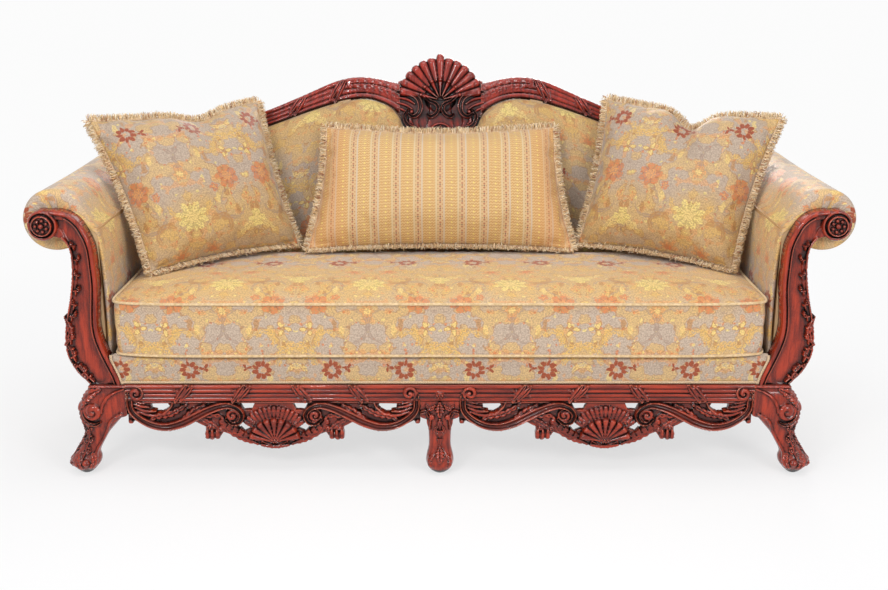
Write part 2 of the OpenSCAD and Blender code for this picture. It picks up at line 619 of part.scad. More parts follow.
module apron(side) color("firebrick")
  on_side(side) translate([block_x0, front_y + apron_set, rail_z]) mirror([1, 0, 0]) {
    difference() {
      board(0, apron_t) polygon(concat([[0, 0]], apron_points(apron_edge_shares),
        [[apron_w / 2, -apron_h]],
        reversed([for (p = apron_points(apron_edge_shares)) [apron_w - p[0], p[1]]]),
        [[apron_w, 0]]));
      both_ends() for (gap = apron_gap_shares)
        board(-cut, apron_t + cut) polygon(apron_points(gap));
    }
    both_ends() {
      stroke(apron_stroke(apron_scroll_shares), -carve_t, apron_t / 2);
      stroke(apron_stroke(apron_swag_shares), -carve_t * 0.7, apron_t / 2);
    }
    translate([apron_w / 2, 0, -0.86 * apron_h])
      shell(9, apron_shell_r, 0.8 * apron_h, 0.22 * apron_shell_r, -carve_t, apron_t / 2);
  }
module apron_left() apron(-1);
module apron_right() apron(1);

// Members of the arm's frame, as lengths along y that the sloping back trims
module arm_frame(side) color("burlywood") on_side(side) difference() {
  union() {
    block(frame_x0, frame_x1, facing_y1, half_d, rail_top, rail_top + stuff_rail_h);
    block(frame_x0, frame_x1, facing_y1, half_d, arm_rail_z0, arm_rail_z1);
    block(frame_x0, frame_x1 + roll_board_w, facing_y1, half_d, arm_rail_z1 - roll_board_t, arm_rail_z1);
    for (y = [facing_y1, frame_y - arm_post_d])
      block(frame_x0, frame_x1, y, y + arm_post_d, rail_top, arm_rail_z1);
  }
  behind_back();
}
module arm_frame_left() arm_frame(-1);
module arm_frame_right() arm_frame(1);

module arm_facing(side) color("firebrick") on_side(side) {
  turn = [for (a = [110 : -20 : -130]) [volute_x + volute_r * cos(a), volute_z + volute_r * sin(a)]];
  base_y = block_y0 + facing_mould_t;
  inner = [for (p = facing_in_edge) if (p[1] < rail_top + 0.9 * facing_h) p];
  board(base_y, facing_y1) polygon(concat(facing_in_edge, turn, reversed(facing_out_edge)));
  board(block_y0, base_y) polygon(concat(inner, reversed(moved(inner, facing_mould_w, 0))));
  translate([volute_x, base_y, volute_z]) rotate([90, 0, 0])
    cylinder(r = 0.93 * volute_r, h = facing_mould_t);
}
module arm_facing_left() arm_facing(-1);
module arm_facing_right() arm_facing(1);

// Turned boss of radius r that stands out by h: shares of its radius and its height
boss_shares = [[0, 0], [1, 0], [1, 0.35], [0.82, 0.6], [0.66, 0.4], [0.52, 0.4], [0.4, 0.85], [0.2, 1],
  [0, 1]];
module boss(r, h) rotate([90, 0, 0]) rotate_extrude() polygon(sized(boss_shares, r, h));
module arm_rosette(side) color("brown") on_side(side)
  translate([volute_x, block_y0, volute_z]) boss(0.7 * volute_r, 0.3 * volute_r);
module arm_rosette_left() arm_rosette(-1);
module arm_rosette_right() arm_rosette(1);

module arm_pad(side) color("tan") on_side(side) difference() {
  board(facing_y1, half_d) polygon(concat(arm_inner, roll_arc,
    [[frame_x1, neck_z], [frame_x1, arm_rail_z1 - roll_board_t],
      [frame_x1 + roll_board_w, arm_rail_z1 - roll_board_t],
      [frame_x1 + roll_board_w, arm_rail_z1], [frame_x0, arm_rail_z1]]));
  behind_back(top_reed_proud);
}
module arm_pad_left() arm_pad(-1);
module arm_pad_right() arm_pad(1);

module outside_arm(side) color("tan") on_side(side) difference() {
  block(frame_x1, frame_x1 + panel_t, facing_y1, half_d, rail_top, neck_z - wood_gap);
  behind_back();
}
module outside_arm_left() outside_arm(-1);
module outside_arm_right() outside_arm(1);

// Post of the back, which spreads at its top to carry the end of the top rail
wing_x = top_rail_x - wood_gap;
wing_share = 0.445;
post_edge = concat([[block_x1, -cut], [block_x1, wing_share * crest_h]],
  reversed(under_rail_points(block_x0, wing_x)), [[block_x0, -cut]]);
module back_post(side) color("burlywood") on_side(side) difference() {
  on_back() board(-back_t, -back_panel_t) polygon(post_edge);
  block(0, far, -far, far, -far, rail_top);
}
module back_post_left() back_post(-1);
module back_post_right() back_post(1);

module back_uprights() color("burlywood") for (s = [-1, 1]) on_side(s) difference() {
  on_back() board(-back_t, -back_panel_t) polygon(concat(
    reversed(under_rail_points(upright_x - upright_w / 2, upright_x + upright_w / 2)),
    [[upright_x - upright_w / 2, 0], [upright_x + upright_w / 2, 0]]));
  block(0, far, -far, far, -far, beam_top);
}

module back_stretcher() color("burlywood") on_back() {
  for (s = [-1, 1]) on_side(s)
    block(upright_x + upright_w / 2, block_x0, -back_t, -back_panel_t,
      stretcher_z, stretcher_z + stretcher_h);
  block(-upright_x + upright_w / 2, upright_x - upright_w / 2, -back_t, -back_panel_t,
    stretcher_z, stretcher_z + stretcher_h);
}

web_x = arm_in - side_gap;
web_z0 = stretcher_z + stretcher_h + 0.5 * web_w;
module back_webbing() color("peru") on_back() {
  pitch = (under_rail(web_x) - web_z0) / web_n;
  for (k = [0 : web_n - 1])
    block(-web_x, web_x, -back_t - web_t, -back_t, web_z0 + k * pitch, web_z0 + k * pitch + web_w);
}

// Top rail with a reed along each edge and one along its middle
module top_rail(side) color("firebrick") on_side(side) on_back() {
  board(-back_t, 0) polygon(concat(top_edge, reversed(low_edge)));
  n = len(top_edge) - 1;
  for (s = [0.14, 0.5, 0.86])
    let (line = [for (i = [0 : n]) let (x = top_edge[i][0])
      [x, under_rail(x) + s * (top_edge[i][1] - under_rail(x))]],
      half = 0.11 * (top_edge[n][1] - low_edge[len(low_edge) - 1][1]))
      board(-back_t - top_reed_proud, -back_t)
        polygon(concat(moved(line, 0, half), reversed(moved(line, 0, -half))));
}
module top_rail_left() top_rail(-1);
module top_rail_right() top_rail(1);

// Lower edge of the crest: shares of half its width and of the length of the back
cartouche_shares = [[0, 0.614], [0.3, 0.623], [0.52, 0.643], [0.66, 0.672], [0.75, 0.697], [0.87, 0.716],
  [0.96, 0.738], [0.97, 0.765], [1, 0.768]];
crest_top_shares = [[1, 0.886], [0.95, 0.915], [0.8, 0.95], [0.6, 0.972], [0.3, 0.985], [0, 0.99]];
crest_scroll_shares = [[0.9, 0.755, 0.05], [0.8, 0.79, 0.07], [0.55, 0.8, 0.07], [0.35, 0.78, 0.06],
  [0.4, 0.755, 0.06]];
cartouche = sized(cartouche_shares, crest_half, crest_h);
medallion_z = 0.692 * crest_h;
crest_base_z = 0.855 * crest_h;
module crest_shell() color("brown") on_back() {
  half = concat(cartouche, sized(crest_top_shares, crest_half, crest_h));
  board(-back_t, 0) polygon(concat(half, reversed([for (p = half) [-p[0], p[1]]])));
  translate([0, 0, crest_base_z])
    shell(11, 0.95 * crest_half, crest_h - crest_base_z, 0.12 * crest_half,
      -back_t - crest_proud, 0);
  for (s = [-1, 1]) on_side(s)
    stroke([for (q = crest_scroll_shares) [q[0] * crest_half, q[1] * crest_h, q[2] * crest_half]],
      -back_t - crest_proud, -back_t / 2);
  translate([0, -back_t / 2, medallion_z]) rotate([90, 0, 0])
    cylinder(r = 1.2 * medallion_r, h = back_t / 2 + crest_proud, $fn = 32);
}
module crest_medallion() color("firebrick") on_back()
  translate([0, -back_t - crest_proud, medallion_z]) boss(medallion_r, 0.2 * medallion_r);

// Padding of the back: its columns, as shares of half its width
pad_half_shares = [0.045, 0.085, 0.115, 0.137, 0.16, 0.2, 0.28, 0.4, 0.55, 0.72, 0.87, 0.96, 1];
pad_columns = concat(reversed([for (s = pad_half_shares) -s]), [0], pad_half_shares);
pad_rows = lines(9);
pad_foot = 0.7 * (seat_z - rail_top);
pad_roof = concat([for (p = cartouche) if (p[0] < 0.97 * crest_half) p], low_edge);
function pad_xz(u, v) = let (x = u * web_x, top = lookup(abs(x), pad_roof) - 2 * wood_gap)
  [x, pad_foot + (top - pad_foot) * (v + 1) / 2];
function pad_rise(u, v) = back_pad_edge
  + (back_pad_t - back_pad_edge) * pow((1 - pow(u, 6)) * (1 - pow(v, 4)), 0.6);
module back_pad() color("tan") on_back() stuffed(
  [for (u = pad_columns) [for (v = pad_rows) let (p = pad_xz(u, v))
    [p[0], pad_plane - pad_rise(u, v), p[1]]]],
  [for (u = pad_columns) [for (v = pad_rows) let (p = pad_xz(u, v)) [p[0], pad_plane, p[1]]]],
  []);

module outside_back() color("tan") on_back()
  board(-back_panel_t, 0) polygon(concat(
    [[-block_x1, 0], [block_x1, 0], [block_x1, wing_share * crest_h]],
    reversed(under_rail_points(crest_half, wing_x)),
    [[crest_half, cartouche[0][1]], [-crest_half, cartouche[0][1]]],
    [for (p = under_rail_points(crest_half, wing_x)) [-p[0], p[1]]],
    [[-block_x1, wing_share * crest_h]]));

// Line of width w along the points p
function strip(p, w) = let (n = len(p) - 1,
  side = [for (i = [0 : n]) let (
    a = p[i] - p[max(i - 1, 0)], b = p[min(i + 1, n)] - p[i],
    da = norm(a) > 0 ? a / norm(a) : b / norm(b), db = norm(b) > 0 ? b / norm(b) : da,
    na = [-da[1], da[0]], nb = [-db[1], db[0]]) (na + nb) / (1 + na * nb) * w / 2])
  concat([for (i = [0 : n]) p[i] + side[i]], [for (i = [n : -1 : 0]) p[i] - side[i]]);
clip_l = 3.5 * spring_d;
spring_y0 = (beam_y + block_y1) / 2;
spring_y1 = frame_y + rear_rail_t / 2;
spring_span = 2 * (facing_x0 - side_gap) - 2 * spring_w;
function spring_at(k) = spring_span * (k / (spring_n - 1) - 0.5);
// The uprights of the back stand each midway between two seat springs
upright_x = spring_at(ceil(spring_n / 2) + 0.5);
module seat_springs() color("silver") {
  pitch = (spring_y1 - spring_y0 - clip_l) / spring_bends;
  bends = [for (k = [0 : spring_bends])
    [(k % 2 == 0 ? -1 : 1) * (spring_w - spring_d) / 2, spring_y0 + clip_l / 2 + k * pitch]];
  ends = [[bends[0][0], spring_y0 - clip_l / 2],
    [bends[spring_bends][0], spring_y1 + clip_l / 2]];
  for (k = [0 : spring_n - 1])
    translate([spring_at(k), 0, beam_top + clip_h - spring_d]) linear_extrude(spring_d)
      polygon(strip(concat([ends[0]], bends, [ends[1]]), spring_d));
}
module spring_clips() color("gray")
  for (k = [0 : spring_n - 1]) for (y = [spring_y0, spring_y1]) difference() {
    x = spring_at(k);
    w = spring_w / 2 + spring_d;
    block(x - w - spring_d, x + w + spring_d, y - clip_l / 2, y + clip_l / 2, beam_top, beam_top + clip_h);
    block(x - w, x + w, y - clip_l, y + clip_l, beam_top + clip_h - spring_d, beam_top + 2 * clip_h);
  }

module seat_deck() color("linen")
  block(-facing_x0 + side_gap, facing_x0 - side_gap, beam_y, seat_back_y - side_gap,
    beam_top + clip_h, seat_z);

border_top = seat_z - rest_gap;
function facing_at(z) = lookup(z, swapped(facing_in_edge));
border_edge = concat([[facing_x0 - wood_gap, rail_top]],
  [for (p = facing_in_edge) if (p[1] > rail_top && p[1] < border_top) [p[0] - wood_gap, p[1]]],
  [[facing_at(border_top) - wood_gap, border_top]]);
module front_border() color("tan") board(beam_y - border_t, beam_y)
  polygon(concat(border_edge, reversed([for (p = border_edge) [-p[0], p[1]]])));

gimp_w = 9;
gimp_t = 2.5;
module rail_gimp() color("wheat")
  block(-facing_x0 + wood_gap, facing_x0 - wood_gap, beam_y - border_t - gimp_t, beam_y - border_t,
    rail_top, rail_top + gimp_w);

module seat_cushion() color("tan") {
  top = [for (u = cushion_u) [for (v = cushion_v) cushion_top(u, v)]];
  low = [for (u = cushion_u) [for (v = cushion_v) cushion_low(u, v)]];
  waist = [for (k = [0 : len(cushion_rim) - 1]) let (o = rim_out(cushion_rim, k))
    [cushion_rim[k][0] + 1.4 * welt_r * o[0], cushion_rim[k][1] + 1.4 * welt_r * o[1],
      cushion_z0 + cushion_h / 2]];
  stuffed(top, low, [waist]);
}

// Ring round a rim p: its sections are [outwards, up] from the rim, anticlockwise from outside
module round_rim(p, section)
  skin([for (k = [0 : len(p) - 1]) let (o = rim_out(p, k))
    [for (s = section) [p[k][0] + o[0] * s[0], p[k][1] + o[1] * s[0], s[1]]]], loop = true);
module cushion_welts() color("wheat")
  for (z = [cushion_z0 + welt_r, cushion_z1])
    round_rim(cushion_rim, [for (a = [0 : 60 : 300])
      [1.2 * welt_r + welt_r * sin(a), z + welt_r * cos(a)]]);

module set_pillow(place, pose) translate(place) rotate([0, 0, pose[0]]) rotate([-pose[1], 0, 0])
  rotate([0, pose[2], 0]) children();
module pillow(build) stuffed(
  [for (u = pillow_s) [for (v = pillow_s) pillow_at(build[0], build[1], build[2], build[3], -1, u, v)]],
  [for (u = pillow_s) [for (v = pillow_s) pillow_at(build[0], build[1], build[2], build[3], 1, u, v)]],
  []);
module fringe(build) {
  inner = [for (q = pillow_loop) pillow_xz(build[0], build[1], build[3], q[0], q[1])];
  rotate([90, 0, 0]) skin([for (k = [0 : len(inner) - 1])
    let (o = rim_out(inner, k), w = fringe_at(pillow_loop[k][1]))
    [for (s = [[rest_gap / 4, 0], [w / 2, fringe_t / 2], [w, 0], [w / 2, -fringe_t / 2]])
      [inner[k][0] + o[0] * s[0], inner[k][1] + o[1] * s[0], s[1]]]], loop = true);
}
module pillow_left() color("tan") set_pillow(place_left, pose_left) pillow(side_build);
module pillow_right() color("tan") set_pillow(place_right, pose_right) pillow(side_build);
module pillow_lumbar() color("indianred") set_pillow(place_lumbar, pose_lumbar) pillow(lumbar_build);
module fringe_left() color("wheat") set_pillow(place_left, pose_left) fringe(side_build);
module fringe_right() color("wheat") set_pillow(place_right, pose_right) fringe(side_build);
module fringe_lumbar() color("wheat") set_pillow(place_lumbar, pose_lumbar) fringe(lumbar_build);

front_rail();
seat_front_beam();
side_rail_left();
side_rail_right();
rear_rail();
seat_braces();
corner_blocks();
corner_screws();
dust_cover();
front_leg_left();
front_leg_right();
centre_leg();
rear_leg_left();
rear_leg_right();
foot_glides();
apron_left();
apron_right();
arm_frame_left();
arm_frame_right();
arm_facing_left();
arm_facing_right();
arm_rosette_left();
arm_rosette_right();
arm_pad_left();
arm_pad_right();
outside_arm_left();
outside_arm_right();
back_post_left();
back_post_right();
back_uprights();
back_stretcher();
back_webbing();
top_rail_left();
top_rail_right();
crest_shell();
crest_medallion();
back_pad();
outside_back();
seat_springs();
spring_clips();
seat_deck();
front_border();
rail_gimp();
seat_cushion();
cushion_welts();
pillow_left();
pillow_right();
pillow_lumbar();
fringe_left();
fringe_right();
fringe_lumbar();
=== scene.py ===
# %% [markdown]
# A cabriole sofa, dressed for its picture.
# The carved frame, the springs and the padding already exist as plain solids in one fixed frame, in
# metres: x runs along the sofa, y from front to back, and z up from the floor. This lesson gives
# them their looks. Every piece rides on the body that it belongs to, so the loose cushions still
# lift off.

# %% Load the frame and keep its box
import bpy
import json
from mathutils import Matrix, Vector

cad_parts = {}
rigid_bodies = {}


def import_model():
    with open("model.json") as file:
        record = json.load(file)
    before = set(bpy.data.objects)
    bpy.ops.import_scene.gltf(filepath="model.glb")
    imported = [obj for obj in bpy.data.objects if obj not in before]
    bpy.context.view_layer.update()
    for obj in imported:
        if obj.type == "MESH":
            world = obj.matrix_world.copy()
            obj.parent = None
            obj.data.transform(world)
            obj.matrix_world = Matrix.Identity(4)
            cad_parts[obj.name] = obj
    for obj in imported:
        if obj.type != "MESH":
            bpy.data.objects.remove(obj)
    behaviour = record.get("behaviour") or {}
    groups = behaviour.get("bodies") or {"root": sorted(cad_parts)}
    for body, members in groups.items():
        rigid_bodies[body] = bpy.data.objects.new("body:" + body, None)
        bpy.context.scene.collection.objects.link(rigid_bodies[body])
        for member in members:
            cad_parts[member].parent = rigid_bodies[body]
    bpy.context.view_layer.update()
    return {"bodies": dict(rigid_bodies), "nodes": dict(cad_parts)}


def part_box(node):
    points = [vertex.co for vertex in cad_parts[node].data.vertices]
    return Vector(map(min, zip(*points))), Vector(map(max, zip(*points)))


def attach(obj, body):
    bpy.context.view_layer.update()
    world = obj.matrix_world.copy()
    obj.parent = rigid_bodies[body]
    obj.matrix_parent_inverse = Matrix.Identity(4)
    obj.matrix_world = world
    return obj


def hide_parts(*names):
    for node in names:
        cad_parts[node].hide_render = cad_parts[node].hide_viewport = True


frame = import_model()

import json
import math

import bpy
import numpy as np
from mathutils import Matrix, Vector

print("bodies:", ", ".join(frame["bodies"]))

# %% [markdown]
# The dressing has to fit the solids. Sizes that are typed twice drift apart, so the main ones are
# read from the frame. The back slopes: its carving is drawn upright, in x and a height along the
# slope, and then laid back. The depth in that slope is 0 at the back of its frame and negative to
# the front.

# %% Sizes that the dressing shares
def box_of(node):
    """The lowest and the highest corner of a plain solid."""
    return [np.array(corner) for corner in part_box(node)]


RAKE = math.radians(12)
rail_low, rail_high = box_of("front_rail")
RAIL_Z, RAIL_TOP = rail_low[2], rail_high[2]
RAIL_DEPTH = 0.040
FRONT_Y = rail_high[1] - RAIL_DEPTH
BLOCK_IN, BLOCK_W = rail_high[0], 0.100
BLOCK_OUT = BLOCK_IN + BLOCK_W
BLOCK_BACK = box_of("seat_front_beam")[1][1]
facing_low, facing_high = box_of("arm_facing_right")
FACING_Y, FACING_BACK = facing_low[1], facing_high[1]
ROLL_R = 0.082
arm_low, arm_high = box_of("arm_pad_right")
ROLL_X, ROLL_Z = arm_high[0] - ROLL_R, arm_high[2] - ROLL_R
PANEL_T, BACK_T = 0.006, 0.045
BACK_Y = box_of("outside_back")[0][1] + PANEL_T * math.cos(RAKE)
SIDES = (("left", -1.0), ("right", 1.0))
print("rail", round(RAIL_Z, 3), round(RAIL_TOP, 3), "back at", round(BACK_Y, 4))


def plot(*values):
    """Points from their coordinates, each a number, a line or a grid."""
    return np.stack(np.broadcast_arrays(*values), axis=-1)


def on_back(x, y, z):
    """Points of the sloping back: along it, through it and up it."""
    c, s = math.cos(RAKE), math.sin(RAKE)
    return plot(x, BACK_Y + y * c + z * s, RAIL_TOP - y * s + z * c)

# %% [markdown]
# Every piece is a mesh that starts as arrays of points and faces. Edit mode could shape it too, but arrays
# give the same piece each run. One helper turns them into an object with its finish, smooth shading and
# sharp edges. Another says what the piece rides on and which plain solid it stands for.

# %% Making and placing pieces
def make_piece(name, points, faces, material, sharp=40, cloth=None):
    """An object from points and faces. cloth is the place on its cloth, in metres, of each
    point or of each corner of each face."""
    mesh = bpy.data.meshes.new(name)
    faces = faces.tolist() if isinstance(faces, np.ndarray) else faces
    mesh.from_pydata(np.asarray(points, dtype=float).tolist(), [], faces)
    mesh.polygons.foreach_set("use_smooth", [True] * len(mesh.polygons))
    if cloth is not None:
        flat = np.asarray(cloth, dtype=np.float32).reshape(-1, 2)
        if len(flat) != len(mesh.loops):
            corners = np.empty(len(mesh.loops), dtype=np.int32)
            mesh.loops.foreach_get("vertex_index", corners)
            flat = flat[corners]
        mesh.uv_layers.new(name="cloth").uv.foreach_set("vector", flat.ravel())
    mesh.update()
    mesh.set_sharp_from_angle(angle=math.radians(sharp))
    mesh.materials.append(material)
    piece = bpy.data.objects.new(name, mesh)
    bpy.context.scene.collection.objects.link(piece)
    return piece


def settle(piece, slot, *nodes, body="frame"):
    """Sets the piece's body and the plain solids that it stands for. slot is not used."""
    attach(piece, body)
    if nodes:
        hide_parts(*nodes)
    return piece


print("piece helpers ready")

# %% [markdown]
# Lines and grids of points come back in every part of the sofa. Blender's curves could give the
# lines, but points in an array are easier to measure, so their sums are written once.

# %% Lines and grids
def smooth_line(points, steps=6):
    """A smooth line through given points, with any number of values at each."""
    p = np.asarray(points, dtype=float)
    p = np.vstack([2 * p[0] - p[1], p, 2 * p[-1] - p[-2]])
    t = np.linspace(0, 1, steps, endpoint=False)[:, None]
    line = []
    for a, b, c, d in zip(p[:-3], p[1:-2], p[2:-1], p[3:]):
        line.append(0.5 * (2 * b + (c - a) * t + (2 * a - 5 * b + 4 * c - d) * t**2
                           + (3 * b - a - 3 * c + d) * t**3))
    return np.vstack(line + [p[-2][None]])


def smoothstep(low, high, value):
    """0 below low and 1 above high, with a soft rise between."""
    t = np.clip((value - low) / (high - low), 0, 1)
    return t * t * (3 - 2 * t)


def unit(vectors):
    return vectors / np.maximum(np.linalg.norm(vectors, axis=-1, keepdims=True), 1e-9)


def lengths(line, axis=0):
    """How far along a line, or along the lines of a grid, each point lies."""
    steps = np.linalg.norm(np.diff(line, axis=axis), axis=-1)
    return np.insert(np.cumsum(steps, axis=axis), 0, 0, axis=axis)


def places_on(line, at):
    """Points of a line at distances along it."""
    run = lengths(line)
    return plot(*[np.interp(at, run, line[:, k]) for k in range(line.shape[1])])


def even_line(points, spacing):
    """Points at even distances along a closed line."""
    loop = np.vstack([points, points[:1]])
    whole = lengths(loop)[-1]
    return places_on(loop, np.linspace(0, whole, int(whole / spacing), endpoint=False))


def looped(number):
    """Point numbers with the first row once more at the end, to close a grid."""
    return np.concatenate([number, number[:1]], axis=0)


def grid_numbers(points):
    return np.arange(points.shape[0] * points.shape[1]).reshape(points.shape[:2])


def quads(number):
    corners = [number[:-1, :-1], number[1:, :-1], number[1:, 1:], number[:-1, 1:]]
    return plot(*corners).reshape(-1, 4)


print("helpers ready")

# %% [markdown]
# The studio is plain: three broad lamps in front and above, a small one for sparks on the polish,
# and one behind for the views from the back. One sun would be simpler, but broad lamps give the
# soft shadows of a photographer's room. They are set so that a colour renders about as it is
# written.

# %% Camera and lamps
scene = bpy.context.scene
scene.view_settings.view_transform = "Standard"
lens = bpy.data.cameras.new("camera")
lens.lens = 48.42
lens.sensor_width = 36.0
camera = bpy.data.objects.new("camera", lens)
camera.location = (0.012, -3.565, 1.45)
camera.rotation_euler = (math.radians(73.74), 0, 0)
scene.collection.objects.link(camera)
scene.camera = camera


def lamp(name, place, target, size, power):
    light = bpy.data.lights.new(name, "AREA")
    light.size = size
    light.energy = power
    holder = bpy.data.objects.new(name, light)
    holder.location = place
    holder.rotation_euler = (Vector(target) - Vector(place)).to_track_quat("-Z", "Y").to_euler()
    scene.collection.objects.link(holder)


lamp("key_lamp", (-1.7, -3.2, 2.5), (0, 0, 0.5), 0.9, 50)
lamp("spark_lamp", (-0.7, -3.3, 2.3), (0, 0, 0.5), 0.16, 12)
lamp("fill_lamp", (2.1, -3.0, 1.9), (0, 0, 0.5), 1.1, 41)
lamp("top_lamp", (0, -0.6, 3.2), (0, 0, 0.4), 2.2, 40)
lamp("back_lamp", (0.6, 3.2, 2.0), (0, 0, 0.5), 2.0, 66)

# %% [markdown]
# Materials are graphs of nodes. They could be wired by hand in the editor, but code is easier to
# repeat. A Wire is a value on its way through a graph, and a sum or a product of wires becomes a
# node by itself. A Graph adds the other nodes. A group is an effect that several materials share:
# it has named inputs and outputs.

# %% Writing node graphs
class Wire:
    """The output of a node. Plain sums with wires and numbers add Math nodes."""

    def __init__(self, graph, socket):
        self.graph = graph
        self.socket = socket

    def __abs__(self):
        return self.graph.math("ABSOLUTE", self)


def teach(sign, operation):
    """Makes a sign of Python's arithmetic add a Math node, whichever side the wire is on."""
    setattr(Wire, "__" + sign + "__", lambda wire, other: wire.graph.math(operation, wire, other))
    setattr(Wire, "__r" + sign + "__", lambda wire, other: wire.graph.math(operation, other, wire))


for sign, operation in (("add", "ADD"), ("sub", "SUBTRACT"), ("mul", "MULTIPLY"),
                        ("truediv", "DIVIDE"), ("mod", "FLOORED_MODULO")):
    teach(sign, operation)


class Graph:
    """Makes nodes in a tree and joins them. A value is a number, a colour or a wire."""

    def __init__(self, tree):
        self.tree = tree

    def add(self, kind, **settings):
        node = self.tree.nodes.new("ShaderNode" + kind)
        for name, value in settings.items():
            setattr(node, name, value)
        return node

    def feed(self, socket, value):
        if isinstance(value, Wire):
            self.tree.links.new(value.socket, socket)
        elif value is not None:
            socket.default_value = value

    def run(self, node, *values, out=0):
        """Feeds a node's first inputs and gives the wire of one of its outputs."""
        for socket, value in zip(node.inputs, values):
            self.feed(socket, value)
        return Wire(self, node.outputs[out])

    def math(self, operation, a, b=None, clamp=False):
        return self.run(self.add("Math", operation=operation, use_clamp=clamp), a, b)

    def vector(self, operation, a, b=None):
        out = 1 if operation in ("LENGTH", "DISTANCE") else 0
        return self.run(self.add("VectorMath", operation=operation), a, b, out=out)

    def blend(self, share, a, b):
        node = self.add("Mix", data_type="RGBA")
        for index, value in ((0, share), (6, a), (7, b)):
            self.feed(node.inputs[index], value)
        return Wire(self, node.outputs[2])

    def step(self, value, low, high, to_low=0.0, to_high=1.0):
        return self.run(self.add("MapRange", interpolation_type="SMOOTHSTEP"),
                        value, low, high, to_low, to_high)

    def named(self, node, **values):
        """Feeds inputs of a node by name and gives the wires of its outputs by name."""
        for name, value in values.items():
            self.feed(node.inputs[name], value)
        return {socket.name: Wire(self, socket) for socket in node.outputs}

    def noise(self, place, scale, detail=2.0, roughness=0.5, out=0):
        node = self.add("TexNoise")
        self.named(node, Vector=place, Scale=scale, Detail=detail, Roughness=roughness)
        return Wire(self, node.outputs[out])

    def source(self, kind, output, **settings):
        return Wire(self, self.add(kind, **settings).outputs[output])

    def split(self, vector):
        return list(self.named(self.add("SeparateXYZ"), Vector=vector).values())

    def join(self, x, y):
        return self.run(self.add("CombineXYZ"), x, y)

    def shade(self, color, value):
        return self.named(self.add("HueSaturation"), Color=color, Value=value)["Color"]

    def use(self, group, **values):
        return self.named(self.add("Group", node_tree=group), **values)


def make_group(name, inputs, outputs, body):
    """A new node group. Inputs are names with kinds, and body turns their wires into outputs."""
    tree = bpy.data.node_groups.new(name, "ShaderNodeTree")
    for side, sockets in (("INPUT", inputs), ("OUTPUT", outputs)):
        for title, kind in sockets.items():
            tree.interface.new_socket(name=title, in_out=side, socket_type="NodeSocket" + kind)
    graph = Graph(tree)
    given = tree.nodes.new("NodeGroupInput").outputs
    ends = tree.nodes.new("NodeGroupOutput").inputs
    results = body(graph, *[Wire(graph, given[title]) for title in inputs])
    for title, value in zip(outputs, results):
        graph.feed(ends[title], value)
    return tree


class Finish(Graph):
    """A new material's graph, with plain numbers set in its shader."""

    def __init__(self, name, **constants):
        self.material = bpy.data.materials.new(name)
        self.material.use_nodes = True
        super().__init__(self.material.node_tree)
        self.shader = self.tree.nodes["Principled BSDF"]
        for title, value in constants.items():
            self.shader.inputs[title.replace("_", " ")].default_value = value

    def done(self, color, roughness, height, strength, distance):
        """Feeds the shader with a colour, a roughness and the height of a bump."""
        bump = self.add("Bump")
        bump.inputs["Strength"].default_value = strength
        bump.inputs["Distance"].default_value = distance
        self.feed(bump.inputs["Height"], height)
        for title, value in (("Base Color", color), ("Roughness", roughness),
                             ("Normal", Wire(self, bump.outputs[0]))):
            self.feed(self.shader.inputs[title], value)
        return self.material


def paint(red, green, blue):
    """A screen colour from 0 to 255 in the linear scale of shaders."""
    return [((v / 255 + 0.055) / 1.055) ** 2.4 if v > 10 else v / 3295
            for v in (red, green, blue)] + [1.0]


print("node helpers ready")

# %% [markdown]
# The sofa stands on white paper, but a white room would also light it from all sides. Light Path
# tells the camera's own rays from those that light the sofa, so the surround looks white and adds
# no light. Near the sofa the floor keeps its shadow. Far away it is as white as the sky, so that no
# horizon shows.

# %% Floor and sky
PAPER = (0.97, 0.97, 0.97, 1)


def is_seen(graph):
    """1 for rays that show the surround itself: the camera's, and those a gloss sends."""
    path = graph.named(graph.add("LightPath"))
    seen = graph.math("MAXIMUM", path["Is Camera Ray"], path["Is Glossy Ray"])
    return graph.math("MAXIMUM", seen, path["Is Transmission Ray"])


world = bpy.data.worlds.new("studio")
scene.world = world
world.use_nodes = True
graph = Graph(world.node_tree)
sky = world.node_tree.nodes["Background"]
graph.feed(sky.inputs["Color"], graph.blend(is_seen(graph), (0.47, 0.47, 0.49, 1), PAPER))

graph = Finish("floor_paper", Base_Color=(0.86, 0.86, 0.86, 1), Roughness=0.9)
glow = graph.add("Emission")
glow.inputs["Color"].default_value = PAPER
far = graph.vector("LENGTH", graph.source("NewGeometry", "Position"))
white = is_seen(graph) * graph.step(far, 0.9, 3.0, 0.66, 1.0)
mixed = graph.run(graph.add("MixShader"), white, Wire(graph, graph.shader.outputs[0]),
                  Wire(graph, glow.outputs[0]))
graph.feed(graph.tree.nodes["Material Output"].inputs["Surface"], mixed)
corners = [(x * 6, y * 6, 0) for x, y in ((-1, -1), (1, -1), (1, 1), (-1, 1))]
make_piece("floor", corners, [(0, 1, 2, 3)], graph.material)
print("floor and sky ready")

# %% [markdown]
# Show wood is polished mahogany. A picture of wood would stretch over the carving, so its figure is made of
# noises that run through it. One group colours all the sofa's woods: broad light and dark figure, fine grain
# along one direction, darker wax and painted shade where the carving is deep, and a painted highlight on the
# raised edges that face the front or the back.

# %% Woods
def wood_finish(graph, place, light, dark, wax_and_shade, edge, recess_shade, raised):
    grain = graph.noise(place, 34.0, 4.0, 0.65)
    tone = graph.noise(place, 2.2, 3.0, 0.6) * 0.65 + grain * 0.35
    wood = graph.blend(graph.step(tone, 0.36, 0.62), dark, light)
    # Wax in the deep carving is partly real wax and partly painted shade.
    waxed_and_shaded = graph.blend(recess_shade, wood, wax_and_shade)
    gloss = recess_shade * 0.3 + graph.step(grain, 0.3, 0.7, 0.10, 0.20)
    # The edge colour is a painted highlight on the raised ridges.
    return graph.blend(raised, waxed_and_shaded, edge), gloss, grain
